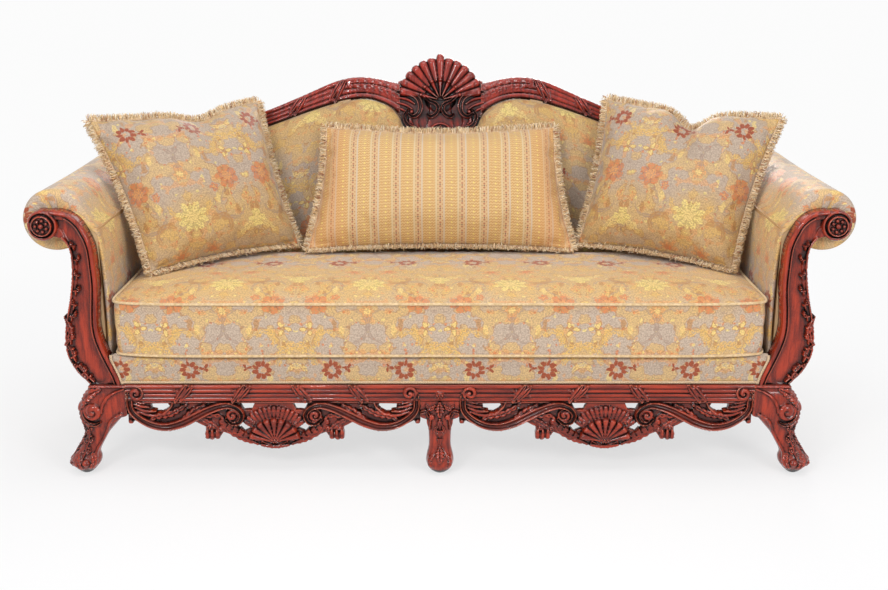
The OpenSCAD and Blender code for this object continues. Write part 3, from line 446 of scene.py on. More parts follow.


# Its edge colour is a painted highlight, and its wax colour is partly painted shade.
WOOD_FINISH = make_group(
    "wood_finish",
    {"Place": "Vector", "Light": "Color", "Dark": "Color", "Wax": "Color", "Edge": "Color",
     "Recess": "Float", "Raised": "Float"},
    {"Color": "Color", "Roughness": "Float", "Height": "Float"}, wood_finish)


def make_wood(name, light, dark, wax_and_shade, edge, along=(4, 40, 40), depth=0.020, coat=0.45):
    """A wood whose grain runs along the direction with the smallest number in along."""
    graph = Finish(name, Coat_Weight=coat, Coat_Roughness=0.05, Specular_IOR_Level=0.22)
    place = graph.vector("MULTIPLY", graph.source("TexCoord", "Object"), along)
    # Ambient occlusion finds the deep carving, which gets the wax colour: partly real wax, partly painted
    # shade.
    shelter = graph.named(graph.add("AmbientOcclusion", samples=6), Distance=depth)
    recess_shade = graph.step(shelter["AO"], 0.99, 0.58)
    shape = graph.named(graph.add("NewGeometry"))
    # The edge colour is a painted highlight: it lies on ridges that face the front or the back, towards the
    # lamps.
    frontal = abs(graph.split(shape["Normal"])[1])
    ridge_highlight = graph.step(shape["Pointiness"], 0.53, 0.62, 0.0, 0.55)
    raised = graph.step(frontal, 0.35, 0.75) * ridge_highlight
    parts = graph.use(WOOD_FINISH, Place=place, Light=light, Dark=dark, Wax=wax_and_shade, Edge=edge,
                      Recess=recess_shade, Raised=raised)
    return graph.done(parts["Color"], parts["Roughness"], parts["Height"], 0.12, 0.0006)


UPRIGHT = (40, 40, 4)
# Each wood gives light and dark figure, a wax colour that is partly painted shade in deep carving, and an
# edge colour that is a painted highlight.
mahogany = (paint(166, 52, 25), paint(98, 24, 13), paint(14, 4, 4), paint(220, 138, 106))
rail_wood = make_wood("rail_mahogany", *mahogany)
post_wood = make_wood("post_mahogany", *mahogany, along=UPRIGHT)
crest_wood = make_wood(
    "crest_mahogany", paint(160, 46, 30), paint(96, 23, 18), paint(13, 4, 5),
    paint(228, 176, 160), along=UPRIGHT, depth=0.018)
frame_wood = make_wood(
    "sawn_beech", paint(206, 170, 124), paint(188, 150, 104),
    paint(150, 112, 74), paint(220, 188, 146), coat=0.0)
print("woods ready")

# %% [markdown]
# The cloth is a brocade: flowers, leaves and scrolls woven in colours over a silvery ground. A
# painted picture could cover it, but motifs from formulas stay sharp close up. There are three
# kinds, each a group that says how much of a point is covered: a flower, a ring of beads, and a
# leaf that curls along an arc. Places are in metres, from each piece's own cloth map.

# %% Motif groups
def polar(graph, place, centre):
    off = graph.vector("SUBTRACT", place, centre)
    x, y, _ = graph.split(off)
    return graph.math("ARCTAN2", y, x), graph.vector("LENGTH", off)


def cover(graph, gap):
    """1 inside, where the gap to the edge is positive, and 0 outside, with a thread between."""
    return graph.math("ADD", gap * 700.0, 0.5, clamp=True)


def flower_motif(graph, place, centre, radius, petals, depth):
    angle, far = polar(graph, place, centre)
    wave = abs(graph.math("COSINE", angle * (petals * 0.5)))
    reach = radius * (1.0 - depth * (1.0 - wave))
    return cover(graph, reach - far), cover(graph, reach * 0.46 - far), graph.step(wave, 0.05, 0.7)


def bead_ring_motif(graph, place, centre, radius, beads, bead):
    angle, far = polar(graph, place, centre)
    pitch = math.tau / beads
    near = angle % pitch - pitch * 0.5
    spot = graph.join(near * far, (far - radius) * 0.7)
    return [cover(graph, bead - graph.vector("LENGTH", spot))]


def curl_motif(graph, place, centre, radius, start, sweep, width, lobes):
    angle, far = polar(graph, place, centre)
    share = (angle - start) % math.tau / sweep
    taper = graph.math("POWER", graph.math("MAXIMUM", share * (1.0 - share), 0.0), 0.5)
    bulge = abs(graph.math("SINE", share * (lobes * math.pi)))
    reach = width * taper * (1.0 + bulge)
    gap = abs(far - radius)
    vein = 1.0 - cover(graph, 0.0012 - gap) * 0.7
    return [cover(graph, reach - gap) * vein]


def motif_group(body, sizes, outputs):
    """A group for a motif, with a place, a centre and some sizes as its inputs."""
    inputs = {"Place": "Vector", "Centre": "Vector", **{title: "Float" for title in sizes}}
    return make_group(body.__name__, inputs, {title: "Float" for title in outputs}, body)


FLOWER = motif_group(flower_motif, ["Radius", "Petals", "Depth"], ["Mask", "Heart", "Tone"])
BEAD_RING = motif_group(bead_ring_motif, ["Radius", "Beads", "Bead"], ["Mask"])
CURL = motif_group(curl_motif, ["Radius", "Start", "Sweep", "Width", "Lobes"], ["Mask"])
print("motifs:", FLOWER.name, BEAD_RING.name, CURL.name)

# %% [markdown]
# A weave is the small bumps of threads that cross. Real threads would take millions of faces, so two sines
# stand in for them. Their height gives the bump, and their tone is painted shade in the hollows between the
# threads. Every cloth on the sofa shares the group.

# %% Weave group
def weave_body(graph, place, pitch):
    x, y, _ = graph.split(place)
    waves = [abs(graph.math("SINE", axis / pitch * math.pi)) for axis in (x, y)]
    height = graph.math("MAXIMUM", *waves)
    # The tone is painted shade, darker in the hollows between the threads.
    return height, graph.step(height, 0.5, 1.0, 0.90, 1.0)


WEAVE = make_group(
    "weave", {"Place": "Vector", "Pitch": "Float"},
    {"Height": "Float", "Tone": "Float"}, weave_body)
THREAD = 0.0016
print("weave with threads", THREAD * 1000, "mm apart")

# %% [markdown]
# The repeat is 0.40 m wide, mirrored about its middle, and 0.5 m high. Its motifs lie one over the
# other, each in its own colour: scrolls in the ground, blooms over them, and rings of beads on top.
# They are kept in tables, so that a motif is moved by changing a number.

# %% Motifs of the brocade
SILVER, FAWN = paint(186, 166, 146), paint(204, 168, 112)
GOLD, OLD_GOLD, STRAW = paint(214, 172, 96), paint(180, 130, 76), paint(224, 194, 122)
YELLOW, CORAL, BRICK = paint(228, 204, 122), paint(206, 122, 72), paint(158, 76, 44)
PEACH, TAUPE = paint(214, 154, 96), paint(158, 132, 114)
REPEAT_W, REPEAT_H = 0.40, 0.50
curls = [  # x, height, radius, start and sweep in degrees, half width, lobes, colour
    (0.078, 0.150, 0.048, 200, 190, 0.006, 4, TAUPE),
    (0.000, 0.020, 0.062, 20, 140, 0.014, 7, STRAW),
    (0.200, 0.185, 0.066, 195, 150, 0.013, 6, GOLD),
    (0.092, 0.352, 0.044, 100, 260, 0.0045, 4, OLD_GOLD),
    (0.084, 0.340, 0.026, 130, 220, 0.011, 3, GOLD),
    (0.030, 0.130, 0.076, 10, 75, 0.004, 3, TAUPE),
    (0.000, 0.415, 0.058, 195, 150, 0.015, 6, GOLD),
    (0.000, 0.425, 0.028, 195, 150, 0.009, 3, STRAW),
    (0.200, 0.470, 0.052, 20, 140, 0.015, 6, STRAW),
    (0.062, 0.465, 0.050, 30, 150, 0.010, 5, GOLD),
    (0.120, 0.085, 0.030, 30, 190, 0.011, 3, OLD_GOLD),
    (0.150, 0.300, 0.050, -80, 170, 0.006, 5, TAUPE)]
flowers = [  # x, height, radius, petals, depth, colour, colour of its heart
    (0.200, 0.125, 0.047, 9, 0.36, YELLOW, STRAW),
    (0.000, 0.092, 0.028, 5, 0.50, YELLOW, STRAW),
    (0.062, 0.228, 0.037, 7, 0.26, CORAL, PEACH),
    (0.112, 0.200, 0.014, 5, 0.40, CORAL, PEACH),
    (0.150, 0.010, 0.030, 7, 0.32, PEACH, CORAL),
    (0.200, 0.255, 0.022, 6, 0.34, PEACH, STRAW)]
rings = [  # x, height, radius, beads, bead size, colour
    (0.098, 0.410, 0.0200, 9, 0.0064, BRICK),
    (0.142, 0.404, 0.0075, 3, 0.0044, BRICK),
    (0.034, 0.308, 0.0135, 3, 0.0074, OLD_GOLD),
    (0.034, 0.308, 0.0135, 3, 0.0056, STRAW)]
print("motifs in a repeat:", len(curls) + len(flowers) + len(rings))

# %% [markdown]
# Between the motifs the ground is full of small leaves and tendrils. Placing hundreds would be
# slow, so they come from bands of two noises and from spots on a share of the cells of a Voronoi
# pattern.

# %% Leaves between the motifs
def scatter(graph, place, color, scale, reach, share, tints):
    """Spots of two colours on a share of the cells of a Voronoi pattern."""
    cells = graph.named(graph.add("TexVoronoi"), Vector=place, Scale=scale)
    chance, kind, _ = graph.named(graph.add("SeparateColor"), Color=cells["Color"]).values()
    tint = graph.blend(graph.step(kind, 0.50, 0.51), *tints)
    spot = graph.step(cells["Distance"], reach, reach * 0.75)
    return graph.blend(spot * graph.step(chance, share, share - 0.01, 0, 0.75), color, tint)


def foliage(graph, place, color):
    near = graph.noise(place, 17.0, 1.5)
    fine = graph.noise(graph.vector("ADD", place, (3.1, 1.7, 0)), 31.0, 1.0)
    edge, vine = abs(near - 0.535), abs(fine - 0.46)
    for value, low, high, most, tint in (
            (near, 0.535, 0.550, 0.60, GOLD), (fine, 0.600, 0.620, 0.60, PEACH),
            (edge, 0.010, 0.004, 0.75, OLD_GOLD), (vine, 0.016, 0.007, 0.45, TAUPE)):
        color = graph.blend(graph.step(value, low, high, 0, most), color, tint)
    slim = graph.vector("MULTIPLY", place, (1.0, 0.45, 1.0))
    color = scatter(graph, slim, color, 40.0, 0.36, 0.40, (OLD_GOLD, STRAW))
    return scatter(graph, place, color, 66.0, 0.30, 0.36, (CORAL, YELLOW))


print("leaf helpers ready")

# %% [markdown]
# The brocade folds each place into one repeat, shakes it a little so that no edge is too clean, and lays the
# motifs. Flecks let the ground show through the woven colour, and what differs from the ground counts as
# raised thread. One group serves every cover, because only its warmth and depth of tone differ; the depth is
# painted shade that darkens a whole cover.

# %% Brocade group
def brocade_body(graph, given_place, warmth, depth):
    shake = graph.vector("SUBTRACT", graph.noise(given_place, 75.0, out=1), (0.5, 0.5, 0.5))
    shake = graph.vector("MULTIPLY", shake, (0.015, 0.015, 0.0))
    x, y, _ = graph.split(graph.vector("ADD", given_place, shake))
    place = graph.join(graph.math("PINGPONG", x, REPEAT_W / 2), y % REPEAT_H)
    bands = graph.math("COSINE", (y - 0.09) * (math.tau / REPEAT_H))
    warm = bands + graph.noise(given_place, 9.0, 2.0) * 2.0 + warmth
    ground = graph.blend(graph.step(warm, 0.3, 1.9), SILVER, FAWN)
    color = foliage(graph, place, ground)
    fleck = graph.noise(given_place, 230.0, 1.0)
    worn = graph.step(fleck, 0.36, 0.58, 0.34, 0.92)
    for x, z, r, a, b, w, n, tint in curls:
        leaf = graph.use(CURL, Place=place, Centre=(x, z, 0), Radius=r, Start=math.radians(a),
                         Sweep=math.radians(b), Width=w, Lobes=n)
        color = graph.blend(leaf["Mask"] * worn, color, tint)
    for x, z, r, n, d, tint, heart in flowers:
        flower = graph.use(FLOWER, Place=place, Centre=(x, z, 0), Radius=r, Petals=n, Depth=d)
        dark = [v * 0.62 for v in tint[:3]] + [1.0]
        color = graph.blend(flower["Mask"] * worn, color, graph.blend(flower["Tone"], dark, tint))
        color = graph.blend(flower["Heart"] * worn, color, heart)
    for x, z, r, n, b, tint in rings:
        beads = graph.use(BEAD_RING, Place=place, Centre=(x, z, 0), Radius=r, Beads=n, Bead=b)
        color = graph.blend(beads["Mask"], color, tint)
    raised = graph.math("MULTIPLY", graph.vector("DISTANCE", color, ground), 8.0, clamp=True)
    weave = graph.use(WEAVE, Place=given_place, Pitch=THREAD)
    # The tone holds painted shade, from the weave between the threads and from depth over the whole cover,
    # and a random tone of flecked threads.
    tone = weave["Tone"] * graph.step(fleck, 0.30, 0.70, 0.80, 1.16) * depth
    return graph.shade(color, tone), raised, weave["Height"]


BROCADE = make_group(
    "brocade", {"Place": "Vector", "Warmth": "Float", "Depth": "Float"},
    {"Color": "Color", "Raised": "Float", "Height": "Float"}, brocade_body)
print("brocade ready")

# %% [markdown]
# Cloth materials read the cloth map by name, because object coordinates would smear where a cover
# turns. Raised threads shine a little more than the ground. Each use of the brocade may start
# elsewhere in the repeat, as a cutter would lay it.

# %% Cloth materials
def cloth_place(graph, offset=(0, 0, 0)):
    """A point's place on its cloth, in metres, moved by an offset."""
    return graph.vector("ADD", graph.source("UVMap", 0, uv_map="cloth"), offset)


def start_cloth(name, sheen, spread, level):
    return Finish(name, Sheen_Weight=sheen, Sheen_Roughness=spread, Specular_IOR_Level=level)


def make_brocade_cloth(name, offset=(0, 0, 0), warmth=0.0, depth=1.0):
    graph = start_cloth(name, 0.25, 0.4, 0.35)
    parts = graph.use(BROCADE, Place=cloth_place(graph, offset), Warmth=warmth, Depth=depth)
    gloss = graph.step(parts["Raised"], 0.0, 1.0, 0.72, 0.46)
    return graph.done(parts["Color"], gloss, parts["Height"], 0.35, 0.0008)


def make_plain_cloth(name, light, dark, pitch=THREAD, scale=120.0):
    graph = start_cloth(name, 0.2, 0.5, 0.3)
    place = cloth_place(graph)
    weave = graph.use(WEAVE, Place=place, Pitch=pitch)
    tint = graph.blend(graph.step(graph.noise(place, scale, 2.0), 0.3, 0.7), dark, light)
    gloss = graph.step(weave["Height"], 0.5, 1.0, 0.9, 0.68)
    # The weave's tone is painted shade between the threads.
    return graph.done(graph.shade(tint, weave["Tone"]), gloss, weave["Height"], 0.4, 0.0006)


# A depth under 1 is painted shade that darkens a whole cover's brocade: the border's, the pillows' and the
# back's.
seat_cloth = make_brocade_cloth("seat_brocade", warmth=0.25)
border_cloth = make_brocade_cloth("border_brocade", (0, -0.052, 0), -0.2, 0.92)
pillow_cloth = make_brocade_cloth("pillow_brocade", warmth=-0.35, depth=0.82)
back_cloth = make_brocade_cloth("back_brocade", (0.1, 0, 0), depth=0.76)
arm_cloth = make_brocade_cloth("arm_brocade", warmth=-0.2)
piping_cloth = make_plain_cloth("piping_cloth", paint(222, 196, 154), paint(198, 166, 120))
gimp_cloth = make_plain_cloth("gimp_braid", paint(216, 190, 156), paint(178, 146, 112), 0.002, 300.0)
deck_cloth = make_plain_cloth("deck_cotton", paint(206, 190, 160), paint(186, 168, 138))
dust_cloth = make_plain_cloth("dust_cambric", paint(44, 44, 46), paint(30, 30, 32), 0.0012, 60.0)
webbing_cloth = make_plain_cloth("webbing_jute", paint(196, 164, 116), paint(150, 118, 78), 0.003, 200.0)
print("brocades and plain cloths ready")

# %% [markdown]
# The lumbar pillow is striped: golden zigzag between chains of small diamonds and thin pale bands.
# Each could be drawn by itself, but a modulo that folds the distances across and along a stripe
# draws them all at once.

# %% Striped cloth
STRIPE_W = 0.067
stripe_bands = [  # middle and half width as shares of a stripe, colour
    (0.50, 0.13, paint(200, 166, 122)), (0.68, 0.022, paint(192, 174, 150)),
    (0.32, 0.022, paint(200, 178, 140))]
inner_diamonds = [  # middle, distance between two, size, shift, colour
    (0.50, 0.0125, 0.0046, 0, paint(168, 112, 80)), (0.50, 0.0250, 0.0034, 0, paint(104, 84, 70)),
    (0.40, 0.0125, 0.0030, 0.00625, paint(156, 128, 78)),
    (0.60, 0.0125, 0.0030, 0.00625, paint(176, 120, 80))]
outer_diamonds = [
    (0.02, 0.0180, 0.0042, 0, paint(222, 200, 110)), (0.16, 0.0150, 0.0030, 0, paint(194, 140, 84)),
    (0.84, 0.0150, 0.0030, 0, paint(194, 140, 84))]


def make_striped_cloth():
    graph = start_cloth("striped_silk", 0.2, 0.4, 0.35)
    place = cloth_place(graph)
    x, y, _ = graph.split(place)
    across = x % STRIPE_W / STRIPE_W

    def lay_diamonds(color, chains):
        for middle, length, size, shift, tint in chains:
            along = abs((y + shift) % length - length / 2)
            reach = abs(across - middle) * STRIPE_W + along
            color = graph.blend(graph.step(reach, size, size - 0.0015), color, tint)
        return color

    zig = graph.math("PINGPONG", across * STRIPE_W, 0.0045) * 0.9
    zigzag = graph.step((y + zig) % 0.009, 0.0040, 0.0050)
    color = graph.blend(zigzag, paint(206, 172, 118), paint(186, 146, 92))
    for middle, half, tint in stripe_bands:
        color = graph.blend(graph.step(abs(across - middle), half + 0.02, half), color, tint)
    color = lay_diamonds(color, inner_diamonds)
    ends = abs(x - STRIPE_W / 2)
    color = graph.blend(graph.step(ends, 0.265, 0.315, 0, 0.34), color, paint(198, 134, 78))
    color = lay_diamonds(color, outer_diamonds)
    weave = graph.use(WEAVE, Place=place, Pitch=THREAD)
    gloss = graph.step(zigzag, 0.0, 1.0, 0.55, 0.7)
    # The weave's tone is painted shade between the threads.
    return graph.done(graph.shade(color, weave["Tone"]), gloss, weave["Height"], 0.4, 0.0007)


striped_cloth = make_striped_cloth()
print("striped cloth ready")

# %% [markdown]
# Steel and plastic are inside and underneath, with brushed or scuffed tones. They are hardly seen,
# so one noise each is enough.

# %% Steel and plastic
def make_metal(name, tint, low, high):
    graph = Finish(name, Metallic=1.0)
    place = graph.vector("MULTIPLY", graph.source("TexCoord", "Object"), (30, 30, 300))
    streaks = graph.noise(place, 3.0, 3.0)
    return graph.done(tint, graph.step(streaks, 0.3, 0.7, low, high), streaks, 0.1, 0.0003)


spring_steel = make_metal("drawn_steel", paint(150, 152, 158), 0.25, 0.45)
screw_steel = make_metal("zinc_plate", paint(186, 186, 180), 0.2, 0.35)
graph = Finish("glide_nylon")
scuffs = graph.noise(graph.source("TexCoord", "Object"), 120.0, 3.0)
tint = graph.blend(scuffs, paint(34, 30, 28), paint(58, 52, 48))
glide_plastic = graph.done(tint, graph.step(scuffs, 0.3, 0.7, 0.5, 0.7), scuffs, 0.1, 0.0003)
print("steel and plastic ready")

# %% [markdown]
# The pieces of the frame that stay out of sight could be modelled again, but nothing would show.
# They keep their solids and only get a finish.

# %% Finish of the hidden frame
hidden_finishes = {
    frame_wood: ["seat_front_beam", "rear_rail", "seat_braces", "corner_blocks", "arm_frame_left",
                 "arm_frame_right", "back_post_left", "back_post_right", "back_uprights",
                 "back_stretcher"],
    spring_steel: ["seat_springs", "spring_clips"],
    screw_steel: ["corner_screws"],
    glide_plastic: ["foot_glides"]}
for finish, nodes in hidden_finishes.items():
    for node in nodes:
        for place in frame["nodes"][node].material_slots:
            place.material = finish
    print(finish.name, "on", len(nodes), "nodes")

# %% [markdown]
# Padded pieces are closed skins. They could be sculpted, but a grid keeps its rows straight for
# seams and pattern. Two grids are joined directly at a seam or through the rows of a boxing. Each
# keeps a cloth map, measured along the skin, so that the pattern isn't stretched where the skin
# turns.

# %% Skins over grids
def rim_of(grid):
    """What stands along the rim of a grid, in order round it."""
    return np.concatenate([grid[:-1, 0], grid[-1, :-1], grid[:0:-1, -1], grid[0, :0:-1]])


def along(grid, axis):
    """Distance along the lines of a grid, from the middle line."""
    run = lengths(grid, axis)
    return run - np.take(run, [run.shape[axis] // 2], axis=axis)


def cloth_map(grid):
    return plot(along(grid, 0), along(grid, 1)).reshape(-1, 2)


def seamed_skin(front, back):
    """Points, faces and cloth map of two grids that share the points of their rim."""
    number = grid_numbers(front)
    other = number.copy()
    other[1:-1, 1:-1] = number.size + grid_numbers(number[1:-1, 1:-1])
    points = np.vstack([front.reshape(-1, 3), back[1:-1, 1:-1].reshape(-1, 3)])
    faces = [quads(number), quads(other)[:, ::-1]]
    cloth = [cloth_map(front)[faces[0]], cloth_map(back)[faces[0][:, ::-1]]]
    return points, np.vstack(faces), np.vstack(cloth), rim_of(number)


def boxed_skin(top, bottom, rows, shifts):
    """The same for two grids whose rims are joined by rows of points, as by a boxing. shifts
    moves the maps of the top, the boxing and the bottom."""
    number = grid_numbers(top)
    size = number.size
    upper, lower = rim_of(number), rim_of(number + size)
    between = [2 * size + k * len(upper) + np.arange(len(upper)) for k in range(len(rows))]
    points = np.vstack([top.reshape(-1, 3), bottom.reshape(-1, 3)] + list(rows))
    wall = looped(np.array([lower] + between + [upper]).T).T
    run = lengths(points[wall[-1]])
    run = run - run[top.shape[0] // 2]
    foot, head = points[wall[0], 2].mean(), points[wall[-1], 2].mean()
    rise = np.linspace(foot, head, len(wall)) - foot
    wall_map = plot(run[:, None], rise[None]).reshape(-1, 2)
    faces, cloth = [], []
    for grid, flat, shift, flip in ((number, cloth_map(top), shifts[0], 1),
                                    (number + size, cloth_map(bottom), shifts[2], -1),
                                    (wall.T, wall_map, shifts[1], -1)):
        faces.append(quads(grid)[:, ::flip])
        cloth.append((flat * (1, -1) + shift)[quads(grid_numbers(grid))[:, ::flip]])
    return points, np.vstack(faces), np.vstack(cloth), (upper, lower)


def make_cover(name, skin, material, slot, node, body="frame", sharp=180):
    """A padded piece from a skin: its points, faces and cloth map."""
    piece = make_piece(name, skin[0], skin[1], material, sharp, skin[2])
    settle(piece, slot, node, body=body)
    return piece


print("skins ready")

# %% [markdown]
# Stuffed cloth is full, with small wrinkles. Noise could draw them, but a cloth simulation puts
# them where cloth puckers. The skin is pressed outwards with no weight, its seams are held, and it
# gets a little spare cloth. Each point may move only a little way, so that the piece keeps its
# place among its neighbours.

# %% Swelling by simulation
SWELL_STEPS, STIFF, BENDING = 16, 12, 0.6


def points_of(piece):
    flat = np.empty(len(piece.data.vertices) * 3)
    piece.data.vertices.foreach_get("co", flat)
    return flat.reshape(-1, 3)


def move_points(piece, points):
    piece.data.vertices.foreach_set("co", points.ravel())
    piece.data.update()


def swell(piece, pressure, reach, spare, held):
    """Lets a closed skin swell under pressure. spare is its spare cloth, and held are points."""
    start = points_of(piece)
    modifier = piece.modifiers.new("cloth", "CLOTH")
    settings = modifier.settings
    settings.quality = 4
    settings.mass = 0.2
    settings.tension_stiffness = settings.compression_stiffness = settings.shear_stiffness = STIFF
    settings.bending_stiffness = BENDING
    settings.use_pressure = True
    settings.uniform_pressure_force = pressure
    settings.shrink_min = -spare
    settings.effector_weights.gravity = 0
    modifier.collision_settings.use_collision = False
    group = piece.vertex_groups.new(name="held")
    group.add([int(v) for v in held], 1.0, "REPLACE")
    settings.vertex_group_mass = "held"
    for step in range(1, SWELL_STEPS + 1):
        scene.frame_set(step)
    moved = points_of(piece.evaluated_get(bpy.context.evaluated_depsgraph_get()))
    push = moved - start
    length = np.maximum(np.linalg.norm(push, axis=1, keepdims=True), 1e-9)
    piece.modifiers.remove(modifier)
    piece.vertex_groups.clear()
    scene.frame_set(1)
    move_points(piece, start + push / length * reach * np.tanh(length / reach))
    print(piece.name, "swelled by at most", round(float(length.max()) * 1000, 1), "mm, kept to",
          round(reach * 1000, 1))


def refine(piece):
    modifier = piece.modifiers.new("smooth", "SUBSURF")
    modifier.levels = modifier.render_levels = 1


print("simulation:", "on")

# %% [markdown]
# Piping is a cord in a strip of cloth, sewn into a seam, and gimp is a flat braid. A bevelled curve
# could draw both, but a tube of points also carries a cloth map.

# %% Tubes along lines
UP = (0.0, 0.0, 1.0)


def tube(line, radius, closed=False, sides=8, flat=1.0, outward=UP):
    """Points, faces and cloth map of a tube along a line. flat scales it along outward."""
    line = np.asarray(line, dtype=float)
    before, after = np.roll(line, 1, axis=0), np.roll(line, -1, axis=0)
    if not closed:
        before[0], after[-1] = line[0], line[-1]
    way = unit(after - before)
    side = np.broadcast_to(outward, line.shape)
    side = unit(side - way * np.sum(side * way, axis=1, keepdims=True))
    third = np.cross(way, side)
    run = lengths(line)
    radius = np.broadcast_to(radius, run.shape)
    angle = np.linspace(0, math.tau, sides, endpoint=False)
    c, s = np.cos(angle)[None, :, None], np.sin(angle)[None, :, None]
    points = line[:, None] + radius[:, None, None] * (side[:, None] * c * flat + third[:, None] * s)
    number = grid_numbers(points)
    ends = [] if closed else [number[0, ::-1].tolist(), number[-1].tolist()]
    number = looped(number.T).T
    if closed:
        number = looped(number)
    around = np.arange(sides) * math.tau * float(radius.mean()) / sides
    cloth = plot(run[:, None], around[None]).reshape(-1, 2)
    return points.reshape(-1, 3), quads(number)[:, ::-1].tolist() + ends, cloth


def join_parts(parts):
    points, faces, cloth, start = [], [], [], 0
    for p, f, c in parts:
        faces += [[v + start for v in face] for face in f]
        points.append(p)
        cloth.append(c)
        start += len(p)
    return np.vstack(points), faces, np.vstack(cloth)


def make_cord(name, shape, slot, *nodes, material=gimp_cloth, sharp=60, body="frame"):
    points, faces, cloth = shape
    return settle(make_piece(name, points, faces, material, sharp, cloth), slot, *nodes, body=body)


print("tubes ready")

# %% [markdown]
# The seat cushion is one long box cushion. Its top crowns, its sides draw in between rounded
# corners, and piping runs round both edges of its boxing. A rounded box would look moulded, so
# formulas shape it. The pattern runs over the top to the front and down the boxing, which starts at
# the row of coral flowers.

# %% Seat cushion
LOW, HIGH = box_of("seat_cushion")
WELT, BOXING_H = 0.004, 0.150
DRAW, ROUND, CROWN = 0.007, 0.024, 0.026
TUCKED = 0.001


def cushion_grid(height, crown):
    u, v = np.meshgrid(np.linspace(-1, 1, 165), np.linspace(-1, 1, 49), indexing="ij")
    half, middle = (HIGH[1] - LOW[1]) / 2 - TUCKED, (HIGH[1] + LOW[1]) / 2
    corner = ROUND * np.abs(u * v) ** 10
    x = u * (HIGH[0] - TUCKED - DRAW * (1 - v * v) - corner)
    y = middle + v * (half - DRAW * (1 - u * u) - corner)
    rise = crown * ((1 - u**6) * (1 - v**4)) ** 0.7
    lumps = (0.0020 * np.sin(5.1 * x + 1) * np.cos(9.0 * y)
             + 0.0012 * np.sin(17 * x) * np.sin(21 * y + 2))
    return plot(x, y, height + rise + lumps * (rise / CROWN))


top = cushion_grid(LOW[2] + BOXING_H, CROWN)
bottom = cushion_grid(LOW[2], 0.0)
rim, foot = rim_of(top), rim_of(bottom)
ahead = np.roll(rim, -1, axis=0) - np.roll(rim, 1, axis=0)
out = unit(plot(ahead[:, 1], -ahead[:, 0], 0 * ahead[:, 0]))
rows = []
for share in np.linspace(0, 1, 13)[1:-1]:
    bulge = 0.0060 * (1 - (2 * share - 1) ** 4) + 0.0006 * np.sin(np.arange(len(rim)) * 0.71) * share
    rows.append(foot * (1 - share) + rim * share + out * bulge[:, None])
points, faces, cloth, seams = boxed_skin(top, bottom, rows, ((0, -0.055), (0, 0.385), (0, 0.2)))
piece = make_cover("seat_cushion_cover", (points, faces, cloth), seat_cloth, "brocade",
                   "seat_cushion", "seat_cushion")
swell(piece, 3.0, 0.007, spare=0.012, held=np.concatenate(seams))
refine(piece)
shape = points_of(piece)
cords = join_parts([tube(shape[seam] + out * 1.1 * WELT, WELT, closed=True) for seam in seams])
make_cord("seat_cushion_piping", cords, "welt_cord", "cushion_welts", material=piping_cloth,
          body="seat_cushion")
print("seat cushion:", len(points), "points")

# %% [markdown]
# Each loose pillow has two faces of cloth, sewn at a seam round its rim. Flat squares could be
# blown up, but the shape would be left to chance. So it is drawn filled: its sides draw in between
# pointed corners, and a pillow that was chopped with a hand has a dip in its upper rim and a valley
# below it. Its pose is its turn about the upright, its lean and its tip in its own plane, in
# degrees, and its place comes from its plain solid. Its slant in metres and its growth say how the
# filled cloth differs from that solid.

# %% Pillow shapes
SEAM_T, FRONT_SHARE, PILLOW_DRAW, PILLOW_CELL = 0.003, 0.6, 0.016, 0.0085
pillow_poses = {"left": (35, 28, -2), "right": (-27, 28, 3), "lumbar": (0, 33, 0)}
pillow_fit = {"left": (-0.012, 1.02), "right": (0.003, 1.02), "lumbar": (0.0, 1.065)}


class Pillow:
    def __init__(self, side, taper):
        yaw, lean, tip = (math.radians(v) for v in pillow_poses[side])
        self.turn = np.array(Matrix.Rotation(yaw, 3, "Z") @ Matrix.Rotation(-lean, 3, "X")
                             @ Matrix.Rotation(tip, 3, "Y"))
        local = points_of(frame["nodes"]["pillow_" + side]) @ self.turn
        low, high = local.min(axis=0), local.max(axis=0)
        self.taper, self.lean = taper, lean
        self.slant, grow = pillow_fit[side]
        self.w = (high[0] - low[0]) / (1 + abs(taper)) * grow
        self.h = (high[2] - low[2]) * (0.5 + grow / 2)
        self.t = (high[1] - low[1]) - SEAM_T
        front = SEAM_T / 2 + FRONT_SHARE * self.t
        self.place = self.turn @ np.array([(low[0] + high[0]) / 2, low[1] + front, low[2]])

    def world(self, points):
        return points @ self.turn.T + self.place

    def outline(self, u, v, dip):
        """Places in the pillow's own plane. A dip is its place across, its width and its depth."""
        at, width, depth = dip
        x = u * (self.w / 2 * (1 + self.taper * v) - PILLOW_DRAW * (1 - v * v)) + self.slant * v
        z = self.h / 2 + v * (self.h / 2 - PILLOW_DRAW * (1 - u * u))
        return x, z - depth * np.exp(-((u - at) / width) ** 2) * np.clip(v, 0, 1) ** 3


def pillow_faces(pillow, dip, seed):
    spans = [np.linspace(-1, 1, int(size / PILLOW_CELL)) for size in (pillow.w, pillow.h)]
    u, v = np.meshgrid(*[0.45 * s + 0.55 * np.sin(s * math.pi / 2) for s in spans], indexing="ij")
    x, z = pillow.outline(u, v, dip)
    at, width, depth = dip
    full = ((1 - u * u) * (1 - v * v)) ** 0.44 * (1 - 0.10 * np.abs(u * v))
    dice = np.random.default_rng(seed)
    lumps = 0
    for waves, size in ((14, 0.0035), (27, 0.0022), (46, 0.0012)):
        p, q = dice.uniform(0, 6, 2)
        lumps = lumps + size * np.sin(waves * x + p) * np.sin(waves * z + q)
    valley = np.exp(-((u - at * (1 - 0.3 * v)) / (width * (1.25 - 0.55 * v))) ** 2)
    valley = 1.1 * depth * valley * smoothstep(-0.15, 0.95, v)
    front = -(0.96 * FRONT_SHARE * pillow.t * full + (lumps - valley) * full)
    back = 0.96 * (1 - FRONT_SHARE) * pillow.t * full
    front[np.abs(full) < 1e-6] = 0
    return plot(x, front, z), plot(x, back, z)


